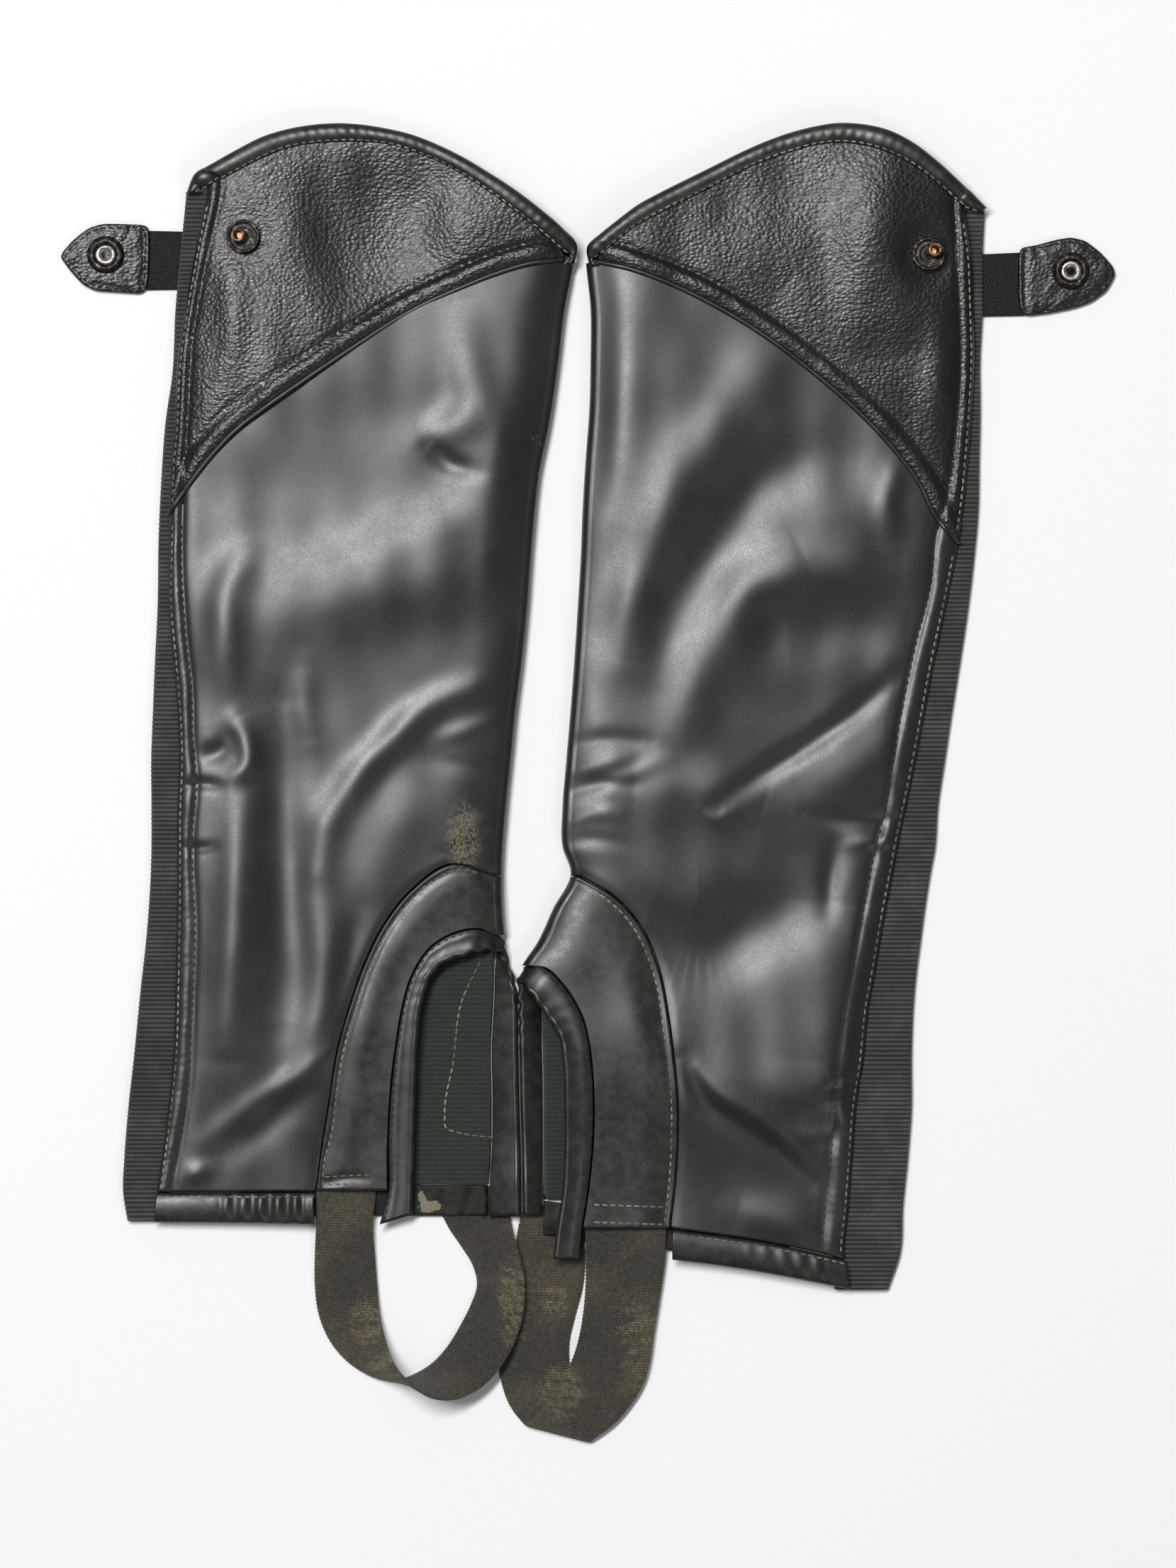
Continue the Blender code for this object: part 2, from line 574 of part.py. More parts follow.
def front_part(chap, line):
    """What lies in front of the zip, of a plan curve that runs from the rear to the fold."""
    ahead = (zip_front(chap, line[:, 1]) - line[:, 0]) * chap.rearward
    first = int(np.argmax(ahead > 0))
    t = ahead[first - 1] / (ahead[first - 1] - ahead[first])
    return np.vstack([line[first - 1] + t * (line[first] - line[first - 1]), line[first:]])


def same_count(*lines):
    """The lines with points added halfway along their longest runs, until each has as many."""
    count = max(len(line) for line in lines)
    made = []
    for line in lines:
        while len(line) < count:
            longest = int(np.argmax(np.linalg.norm(np.diff(line, axis=0), axis=1)))
            middle = (line[longest] + line[longest + 1]) / 2
            line = np.insert(line, longest + 1, middle, axis=0)
        made.append(line)
    return made


def rear_edge(upper, lower, x_at, rows):
    """The rear edge of a panel, between the rear ends of its upper and lower edges."""
    heights = np.linspace(upper[0, 1], lower[0, 1], rows)
    rear = np.stack([x_at(heights), heights], axis=1)
    rear[0], rear[-1] = upper[0], lower[0]
    return rear


def leg_panel(chap, finish):
    """One piece from the visible seam round the shin fold to the hidden seam."""
    upper = seam_line(chap, PIPING_HALF_SEAM)
    hem = evenly(np.array(chap.hem_top) + (0, GAP), HEM_COLUMNS + 1)[:-1]
    lower = np.vstack([evenly(hem, HEM_COLUMNS), guard_line(chap, GAP)])
    upper = same_count(upper, lower)[0]
    for line in (upper, lower):
        line[-1, 0] = fold_centre(chap, line[-1:, 1])[0]
    rear = rear_edge(upper, lower, lambda y: across(chap, y, "seam"), ROWS)
    heights = np.linspace(upper[-1, 1], lower[-1, 1], ROWS)
    front = np.stack([fold_centre(chap, heights), heights], axis=1)
    outer, inner = visible(chap, patch(upper, lower, rear, front))
    around, inside = turn(chap, heights, ROUND_FOLD)

    upper, lower = same_count(front_part(chap, upper), front_part(chap, lower))
    rear = rear_edge(upper, lower, lambda y: zip_front(chap, y), ROWS)
    under, over = hidden(patch(upper, lower, rear, front)[:, ::-1])
    outer = np.concatenate([outer, around[:, 1:-1], under], axis=1)
    inner = np.concatenate([inner, inside[:, 1:-1], over], axis=1)
    return sheet(f"{chap.name}_leg_panel", outer, inner, finish)


def top_panel(chap, finish):
    """The pebbled panel of the visible side."""
    upper, lower = same_count(lip_line(chap, GAP)[1:-2], seam_line(chap, -PIPING_HALF_SEAM))
    rear = rear_edge(upper, lower, lambda y: across(chap, y, "seam"), 6)
    front = np.linspace(upper[-1], lower[-1], 6)
    return sheet(f"{chap.name}_top_panel", *visible(chap, patch(upper, lower, rear, front)), finish)


def top_panel_under(chap, finish):
    """The plain twin of the top panel on the hidden side."""
    upper = front_part(chap, lip_line(chap, GAP)[:-2])
    lower = front_part(chap, seam_line(chap, PIPING_HALF_SEAM - GAP))
    upper, lower = same_count(upper, lower)
    rear = rear_edge(upper, lower, lambda y: zip_front(chap, y), 4)
    front = np.linspace(upper[-1], lower[-1], 4)
    return sheet(f"{chap.name}_top_panel_under", *hidden(patch(upper, lower, rear, front)), finish)


def piping(chap, finish):
    line = seam_line(chap, 0)
    high = crown(chap, line[:, 0], line[:, 1]) - 0.2
    along = np.gradient(line, axis=0)
    along /= np.linalg.norm(along, axis=1, keepdims=True)
    sections = []
    for (x, y), z, (ax, ay) in zip(line, high, along):
        ring = []
        for t in np.radians(range(0, 360, 60)):
            out, up = PIPING_RADIUS * math.cos(t), PIPING_RADIUS * math.sin(t)
            ring.append((x - ay * out, y + ax * out, z + up))
        sections.append(ring)
    return loft(f"{chap.name}_piping", np.array(sections), finish)


def top_binding(chap, finish):
    """The rolled edge along the top of the visible side."""
    lip = lip_line(chap)
    edge = evenly(chap.top_edge, len(lip))
    z = crown(chap, lip[:, 0], lip[:, 1]) - TOP_ROLL.drop
    edge, lip = np.column_stack([edge, z]), np.column_stack([lip, z])
    return rolled_edge(f"{chap.name}_top_binding", edge, lip, TOP_ROLL, finish)


def top_binding_under(chap, finish):
    """The same binding pressed flat on the hidden side."""
    lip = front_part(chap, lip_line(chap))
    edge = evenly(chap.top_edge, COLUMNS + 4)
    plan = np.stack([edge[-len(lip):], lip])
    return sheet(f"{chap.name}_top_binding_under", *hidden(plan, FLAT_TAPE), finish)


def side_heights(chap):
    """The heights that the elastic and the zip are sewn together at."""
    return np.linspace(chap.sections[0].y - 0.8, chap.sections[-1].y, 24)


def elastic(chap, finish):
    """The ribbed gusset folded over the outer edge, with a wide hidden side and a narrow visible one."""
    y = side_heights(chap)
    edge, seam = across(chap, y, "edge"), across(chap, y, "seam")
    middle, radius = ELASTIC_TOP / 2, ELASTIC_TOP / 2
    sections = []
    for height, x, leather in zip(y, edge, seam):
        shown = abs(leather - x) + ELASTIC_UNDER_PANEL
        profile = [(shown, ELASTIC_TOP), (radius, ELASTIC_TOP), (0.3 * radius, 1.7 * radius), (0, middle)]
        profile += [(0.3 * radius, 0.3 * radius), (radius, 0), (ELASTIC_HIDDEN, 0), (ELASTIC_HIDDEN, ELASTIC)]
        profile += [(radius, ELASTIC), (ELASTIC, middle), (radius, ELASTIC_TOP - ELASTIC)]
        profile += [(shown, ELASTIC_TOP - ELASTIC)]
        sections.append([(x - chap.rearward * w, height, z) for w, z in profile])
    return loft(f"{chap.name}_elastic", np.array(sections), finish)


def zip_parts(chap, tape, metal):
    """The closed zip on the hidden side, with its slider at the top."""
    y = side_heights(chap)[1:-1]
    top = y[0]
    rear = across(chap, y, "edge") - chap.rearward * (ELASTIC_HIDDEN + GAP)
    strip = np.stack([np.stack([rear, y], axis=1), np.stack([rear - chap.rearward * ZIP_WIDTH, y], axis=1)], axis=1)
    outer, inner = hidden(strip, ZIP)
    strip_piece = sheet(f"{chap.name}_zip_strip", outer, inner, tape)
    x = rear[0] - chap.rearward * ZIP_WIDTH / 2
    outline = [(x - 4, top + GAP), (x + 4, top + GAP), (x + 5, top + 8), (x + 3, top + 12), (x - 3, top + 12)]
    outline.append((x - 5, top + 8))
    return strip_piece, slab(f"{chap.name}_zip_slider", outline, 0, 2.4, metal)


def arch_binding(chap, finish):
    """The rolled edge of the foot opening, from the visible foot round the fold to the hidden foot."""
    rows = np.array(chap.arch, float)
    layer, raised = rows[:, 4:5], rows[:, 5:6]
    high = crown(chap, rows[:, 2], rows[:, 3])[:, None] - ARCH_ROLL.drop
    lines = []
    for first, low in ((0, ARCH_ROLL.radius + GAP), (2, ARCH_ROLL.lip + GAP)):
        lines.append(np.hstack([rows[:, first : first + 2], layer * high + (1 - layer) * (low + raised)]))
    return rolled_edge(f"{chap.name}_arch_binding", *lines, ARCH_ROLL, finish)


def guard(chap, finish):
    """The arched band between the leg panel and the arch's binding, over the shin fold."""
    columns, hidden_rows = 4, 9
    side = np.linspace(0, 1, columns)[None, :, None]
    lip = np.array([(row.lip_x, row.lip_y) for row in visible_binds(chap)], float)
    lip = beside(lip, -chap.rearward * 0.5)
    corner = fold_centre(chap, np.array([chap.arch[10].lip_y + 0.6]))[0], chap.arch[10].lip_y + 0.6
    lip = np.vstack([lip, corner])
    edge = guard_line(chap)
    edge[-1, 0] = fold_centre(chap, edge[-1:, 1])[0]
    outer, inner = visible(chap, lip[:, None] * (1 - side) + edge[:, None] * side)
    around, inside = turn(chap, np.linspace(lip[-1, 1], edge[-1, 1], columns), ROUND_FOLD)
    around, inside = around.transpose(1, 0, 2), inside.transpose(1, 0, 2)
    outer[-1], inner[-1] = around[0], inside[0]

    end = chap.hidden_hem[2][1] + 0.8
    lip = [(row.lip_x + chap.rearward * 0.6, row.lip_y) for row in chap.arch if row.layer == 0]
    lip = np.array([corner] + [place for place in lip if place[1] > end] + [(lip[-1][0], end)], float)
    foot_x = np.interp(end, edge[:, 1], edge[:, 0])
    edge = np.vstack([edge[::-1][edge[::-1, 1] > end], [(foot_x, end)]])
    lip, edge = same_count(lip, edge)
    under, over = hidden(lip[:, None] * (1 - side) + edge[:, None] * side)
    under[0], over[0] = around[-1], inside[-1]
    outer = np.concatenate([outer, around[1:-1], under])
    inner = np.concatenate([inner, inside[1:-1], over])
    return sheet(f"{chap.name}_guard", outer, inner, finish)


def hem(chap, finish):
    edge, lip = evenly(chap.hem_bottom, 8), evenly(chap.hem_top, 8)
    z = crown(chap, lip[:, 0], lip[:, 1]) - HEM_ROLL.drop
    return rolled_edge(f"{chap.name}_hem", np.column_stack([edge, z]), np.column_stack([lip, z]), HEM_ROLL, finish)


def hem_under(chap, finish):
    """The facing inside the hidden side of the foot opening, over the strap's sewn end."""
    return slab(f"{chap.name}_hem_under", chap.hidden_hem, *HIDDEN_HEM, finish)


def lining(chap, finish):
    """The knitted lining, where it shows through the arch."""
    front = np.array([(row.lip_x, row.lip_y) for row in chap.arch if row.layer == 0 and row.raised < 1], float)
    bottom = chap.hidden_hem[2][1] + 0.4
    front = np.vstack([front, [(front[-1, 0] + chap.rearward * 0.6, bottom)]]) + (chap.rearward * 0.9, 0)
    front = evenly(front, 8)
    rear = front + (chap.rearward * 54, 0)
    side = np.linspace(0, 1, 4)[None, :, None]
    plan = front[:, None] * (1 - side) + rear[:, None] * side
    outer, inner = hidden(plan, KNIT, WALL + GAP)
    return sheet(f"{chap.name}_lining", outer, inner, finish)


def stirrup_strap(chap, finish):
    """The elastic band under the foot, sewn inside both sides of the foot opening."""
    rows = between(chap.strap, 2)
    rear, front = rows[:, :3], rows[:, 3:]
    across_band = np.stack([rear, (rear + front) / 2, front], axis=1)
    along = np.gradient(across_band[:, 1], axis=0)
    normal = np.cross(along, front - rear)
    normal /= np.linalg.norm(normal, axis=1, keepdims=True)
    shift = normal[:, None] * WEBBING / 2
    faces = [across_band + shift, across_band - shift]
    for face in faces:
        face[..., 2] = np.maximum(face[..., 2], 0)
    return sheet(f"{chap.name}_stirrup_strap", *faces, finish)


def snap_and_tab(chap, webbing, leather, dark_metal, copper):
    x, y = chap.stud
    around = np.linspace(0, 2 * math.pi, 12)
    radius = WASHER[0] / 2
    seat = float(crown(chap, x + radius * np.cos(around), y + radius * np.sin(around)).max()) + GAP
    disc(f"{chap.name}_stud_washer", chap.stud, WASHER[0], seat, seat + WASHER[1], dark_metal)
    low = seat + WASHER[1] + GAP
    disc(f"{chap.name}_stud_post", chap.stud, POST[0], low, low + POST[1], copper, 16)
    slab(f"{chap.name}_tab_webbing", chap.tab_webbing, 0, TAB_WEBBING, webbing)
    slab(f"{chap.name}_tab", chap.tab, 0, TAB, leather)
    outer, hole, height = SOCKET
    low, high = TAB + GAP, TAB + GAP + height
    profile = [(hole / 2, low), (outer / 2, low), (outer / 2, high - 0.6), (outer / 2 - 1.2, high)]
    profile += [(hole / 2 + 0.8, high), (hole / 2, high - 0.5)]
    turned(f"{chap.name}_socket_ring", chap.socket, profile, dark_metal)


def main():
    for obj in list(bpy.data.objects):
        bpy.data.objects.remove(obj)
    smooth_leather = material("smooth_leather", (0.018, 0.018, 0.019), 0.42)
    pebbled_leather = material("pebbled_leather", (0.012, 0.012, 0.013), 0.36)
    ribbed_elastic = material("ribbed_elastic", (0.020, 0.018, 0.016), 0.85)
    strap_webbing = material("strap_webbing", (0.045, 0.040, 0.028), 0.9)
    knit = material("knit", (0.016, 0.030, 0.030), 0.95)
    zip_tape = material("zip_tape", (0.015, 0.015, 0.016), 0.8)
    dark_metal = material("dark_metal", (0.10, 0.095, 0.09), 0.35, 1.0)
    copper = material("copper", (0.45, 0.24, 0.15), 0.3, 1.0)
    for chap in (LEFT, RIGHT):
        leg_panel(chap, smooth_leather)
        top_panel(chap, pebbled_leather)
        top_panel_under(chap, pebbled_leather)
        piping(chap, smooth_leather)
        top_binding(chap, smooth_leather)
        top_binding_under(chap, smooth_leather)
        elastic(chap, ribbed_elastic)
        zip_parts(chap, zip_tape, dark_metal)
        guard(chap, smooth_leather)
        arch_binding(chap, smooth_leather)
        hem(chap, smooth_leather)
        hem_under(chap, smooth_leather)
        lining(chap, knit)
        stirrup_strap(chap, strap_webbing)
        snap_and_tab(chap, ribbed_elastic, smooth_leather, dark_metal, copper)


main()
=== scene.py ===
"""The looks of a pair of half chaps for riding, laid flat side by side.

Every soft piece is made again here along the same lines as its solid, with its creases, seams, stitches
and ribs. The tables are in millimetres in the part's own frame, and meshes are in metres.
"""

import math
from collections import namedtuple

import bpy
import numpy as np
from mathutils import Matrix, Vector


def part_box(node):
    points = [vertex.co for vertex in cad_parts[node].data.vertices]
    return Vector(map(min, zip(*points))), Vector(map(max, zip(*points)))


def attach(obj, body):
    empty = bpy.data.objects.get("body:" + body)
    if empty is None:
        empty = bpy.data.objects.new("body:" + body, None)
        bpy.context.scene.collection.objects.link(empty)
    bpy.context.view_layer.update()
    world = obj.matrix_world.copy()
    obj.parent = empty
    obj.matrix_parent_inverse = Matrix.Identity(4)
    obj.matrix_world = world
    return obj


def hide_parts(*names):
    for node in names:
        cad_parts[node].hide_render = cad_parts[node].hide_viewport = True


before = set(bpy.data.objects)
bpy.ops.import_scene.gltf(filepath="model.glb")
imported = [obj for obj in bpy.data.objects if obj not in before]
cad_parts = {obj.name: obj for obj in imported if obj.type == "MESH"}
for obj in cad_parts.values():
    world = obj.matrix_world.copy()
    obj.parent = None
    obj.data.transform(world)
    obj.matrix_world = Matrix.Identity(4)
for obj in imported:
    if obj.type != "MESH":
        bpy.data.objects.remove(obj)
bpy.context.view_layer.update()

MM = 0.001

# Thicknesses and clearances
WALL = 1.5  # leather of the leg panel, the top panel and the guard
GAP = 0.3  # between two pieces that are sewn together
FOLD_RADIUS = 3.7  # outside radius of the tube at the shin fold
SEAM_TOP = 5.6  # height of the visible leather where it is sewn to the elastic
TOP_EDGE_LIFT = 0.5  # how much higher the leather runs at the top of the leg
SWELL = 3.0  # how far the visible side bows up between the fold and the seam
KNIT = 1.0  # the lining
HIDDEN_HEM = (1.8, 3.0)  # lowest and highest point of the facing inside the foot opening
ELASTIC = 1.2
ELASTIC_TOP = 3.6
ELASTIC_UNDER_PANEL = 5.0
ELASTIC_HIDDEN = 14.0  # its width on the hidden side
ZIP_WIDTH = 26.0
ZIP_GAP = 0.9  # between its tape and the leather, where no stitch holds them flat
WEBBING = 1.3
TAB_WEBBING = 1.2
TAB = 2.8
PIPING_RADIUS = 1.0
PIPING_HALF_SEAM = PIPING_RADIUS + GAP

# Bindings rolled over an edge. Drop is how far the middle of the roll lies below the top of the leather
TOP_RADIUS = 2.3
TOP_DROP = 0.6
FLAT_TAPE = 2.4  # thickness of the top binding's flattened stretch on the hidden side
HEM_RADIUS = 1.8
HEM_SEWN = 1.4  # height of the hem's stitches over the middle of its roll
ARCH_RADIUS = 1.6
ARCH_LIP = 1.2  # half the thickness of its sewn lip
ARCH_DROP = 0.9
ARCH_REST = 2.1  # height of the middle of its roll over what it lies on, on the hidden side

# Snap fastener
WASHER = (13.5, 1.4)  # diameter, height
POST = (5.5, 4.2)
SOCKET = (15.0, 8.0, 1.8)  # outer diameter, hole, height

# A cross-section of the tube at height y: the x of the elastic's outer edge, of the leather's rear edge
# and of the shin fold
Section = namedtuple("Section", "y edge seam fold")
# A crease: positive height is a ridge, negative is a trough
Crease = namedtuple("Crease", "height width line")
# One place along the stirrup strap: its rear edge and its front edge, both with the height of mid-webbing
Strap = namedtuple("Strap", "rear_x rear_y rear_z front_x front_y front_z")
# One place along the binding of the arch, its edge at the opening and its sewn lip. Layer 1 is the
# visible side and 0 the hidden side, and raised is the lift over the strap's sewn end
Bind = namedtuple("Bind", "edge_x edge_y lip_x lip_y layer raised")

Chap = namedtuple(
    "Chap",
    "name rearward sections creases top_edge top_lip panel_seam guard_edge arch hem_top hem_bottom "
    "hidden_hem strap stud tab_webbing tab socket",
)

LEFT = Chap(
    name="left",
    rearward=-1,
    sections=[
        Section(236, -161.5, -153.0, -5.0),
        Section(210, -164.0, -158.2, -5.5),
        Section(190, -165.8, -161.7, -9.0),
        Section(165, -167.0, -165.0, -12.0),
        Section(145, -169.8, -165.8, -15.0),
        Section(125, -171.3, -167.5, -19.0),
        Section(100, -172.5, -168.0, -21.7),
        Section(70, -173.0, -168.3, -24.0),
        Section(50, -174.0, -166.5, -26.0),
        Section(30, -174.8, -164.8, -28.5),
        Section(10, -175.5, -164.0, -30.5),
        Section(-10, -175.4, -164.8, -32.5),
        Section(-30, -175.5, -164.9, -34.0),
        Section(-50, -176.5, -165.0, -34.0),
        Section(-65, -177.8, -165.2, -32.5),
        Section(-80, -179.5, -165.5, -29.5),
        Section(-110, -182.5, -166.5, -28.0),
        Section(-130, -184.7, -168.5, -28.0),
        Section(-150, -186.3, -171.0, -27.0),
        Section(-164, -186.8, -173.0, -27.0),
        Section(-175.5, -185.0, -174.5, -27.0),
    ],
    creases=[
        Crease(0.8, 10, [(-32, 118), (-50, 108), (-70, 100), (-92, 91), (-114, 87), (-138, 87)]),
        Crease(3.2, 20, [(-26, 92), (-56, 88), (-88, 78), (-116, 70), (-140, 66)]),
        Crease(1.4, 24, [(-60, 202), (-100, 178), (-134, 152), (-160, 126)]),
        Crease(1.7, 6.5, [(-30, 37), (-50, 37), (-63, 31), (-77, 19), (-92, 3), (-103, -14), (-108, -34)]),
        Crease(1.7, 9, [(-104, -20), (-107, -45), (-105, -70), (-107, -90), (-112, -112), (-114, -135)]),
        Crease(-2.2, 10, [(-121, 30), (-123, -20), (-123, -60), (-124, -96)]),
        Crease(2.8, 13, [(-138, 2), (-138, -40), (-139, -72), (-142, -112)]),
        Crease(2.0, 8, [(-136, 92), (-144, 78), (-145, 60), (-144, 45), (-141, 28)]),
        Crease(1.9, 10, [(-52, 194), (-49, 172), (-43, 156), (-36, 140), (-36, 124)]),
        Crease(1.3, 8, [(-66, 138), (-56, 142), (-44, 149)]),
        Crease(1.4, 14, [(-62, -2), (-78, -22), (-88, -48)]),
    ],
    top_edge=[
        (-161, 237), (-158, 244), (-150, 249), (-140, 254.5), (-130, 259.5), (-120, 262.5), (-110, 264.2),
        (-100, 264.8), (-90, 264.2), (-80, 262.5), (-70, 260), (-60, 256), (-50, 251), (-40, 245),
        (-30, 238.5), (-20, 231), (-10, 222.5), (-4.5, 216.5),
    ],
    top_lip=[
        (-157.5, 237.3), (-154, 239), (-149, 241), (-140, 245.5), (-130, 250.5), (-120, 254.5),
        (-110, 256.3), (-100, 257), (-90, 257), (-80, 256), (-70, 253), (-60, 249), (-50, 243.5),
        (-40, 237), (-30, 229.5), (-20, 221.5), (-11, 214.2), (-7, 211.2),
    ],
    panel_seam=[
        (-168, 108.5), (-164, 115), (-160, 120), (-150, 132.5), (-140, 142.5), (-130, 150), (-110, 164),
        (-90, 177.5), (-70, 190), (-50, 199), (-30, 206.5), (-20, 209), (-9.5, 210.3),
    ],
    guard_edge=[
        (-109, -163), (-108, -150), (-105.5, -141), (-103, -122), (-100, -105), (-95, -88), (-89, -71),
        (-82, -57), (-73, -45), (-63, -36.5), (-52, -31.8), (-42, -34), (-37.7, -36.7),
    ],
    arch=[
        Bind(-70.5, -172.5, -83.5, -176.5, 1, 0),
        Bind(-70.0, -160, -80.0, -163, 1, 0),
        Bind(-69.5, -145, -80.0, -145, 1, 0),
        Bind(-68.8, -120, -78.8, -122, 1, 0),
        Bind(-67.8, -100, -76.3, -102, 1, 0),
        Bind(-66.3, -88, -73.6, -87, 1, 0),
        Bind(-63.0, -77.5, -70.0, -76, 1, 0),
        Bind(-58.0, -72, -63.5, -66, 1, 0),
        Bind(-51.0, -69.5, -54.0, -60, 1, 0),
        Bind(-44.5, -67.5, -44.0, -58.2, 1, 0),
        Bind(-39.5, -67.0, -38.0, -59.8, 0.86, 0),
        Bind(-35.0, -68.5, -34.3, -62.5, 0.45, 0),
        Bind(-31.5, -73.0, -36.3, -67.5, 0.1, 0),
        Bind(-29.6, -78.0, -37.3, -75, 0, 0),
        Bind(-28.6, -85.0, -37.5, -84, 0, 0),
        Bind(-28.1, -105.0, -38.6, -105, 0, 0),
        Bind(-27.6, -130.0, -38.3, -130, 0, 0),
        Bind(-27.1, -147.0, -38.6, -147, 0, 0.2),
        Bind(-27.0, -157.0, -39.2, -157, 0, 1.75),
        Bind(-26.9, -173.5, -39.6, -173.5, 0, 1.75),
    ],
    hem_top=[(-173, -164), (-140, -163.9), (-109.9, -163.7)],
    hem_bottom=[(-174, -175.8), (-140, -176), (-109.9, -176.6)],
    hidden_hem=[(-140, -161.2), (-80, -161), (-40.4, -160.8), (-40.4, -173.5), (-80, -173.5), (-140, -173.5)],
    strap=[
        Strap(-109.0, -155.0, 4.7, -84.8, -155.0, 4.7),
        Strap(-109.0, -165.0, 4.6, -85.2, -165.0, 4.6),
        Strap(-109.2, -177.0, 3.4, -86.4, -177.0, 3.6),
        Strap(-109.8, -190.0, 1.7, -85.6, -190.0, 2.2),
        Strap(-109.7, -203.0, 0.9, -84.6, -203.0, 2.0),
        Strap(-108.0, -214.0, 0.8, -83.5, -213.5, 3.2),
        Strap(-103.0, -225.0, 0.8, -81.2, -223.0, 6.0),
        Strap(-94.5, -233.8, 1.0, -78.0, -231.0, 11.0),
        Strap(-84.5, -238.8, 1.2, -74.3, -236.0, 16.0),
        Strap(-76.0, -239.4, 1.4, -69.0, -240.8, 18.5),
        Strap(-69.0, -236.8, 1.4, -63.0, -244.8, 17.5),
        Strap(-62.5, -232.6, 1.3, -54.5, -246.2, 14.5),
        Strap(-56.5, -226.0, 1.2, -45.0, -243.0, 11.0),
        Strap(-51.0, -217.0, 1.0, -36.5, -235.5, 8.4),
        Strap(-47.0, -209.0, 0.9, -30.5, -226.0, 6.8),
        Strap(-44.6, -200.5, 0.8, -26.0, -212.5, 5.9),
        Strap(-46.5, -193.0, 0.8, -25.4, -201.0, 5.4),
        Strap(-51.5, -185.0, 0.8, -27.3, -189.5, 4.6),
        Strap(-56.5, -177.5, 0.7, -30.3, -179.0, 2.4),
        Strap(-59.2, -171.5, 0.65, -31.4, -172.5, 0.65),
        Strap(-59.5, -161.5, 0.65, -31.7, -161.5, 0.65),
    ],
    stud=(-138, 219),
    tab_webbing=[(-165.4, 222.0), (-175.2, 222.3), (-175.2, 198.5), (-165.4, 198.8)],
    tab=[
        (-175.6, 224.5), (-185, 225), (-195, 225.2), (-201, 223.3), (-207, 218.5), (-211, 214), (-212, 211.5),
        (-208, 206), (-203, 200.5), (-198, 198), (-190, 197.5), (-176.5, 196.5),
    ],
    socket=(-193.7, 212.5),
)

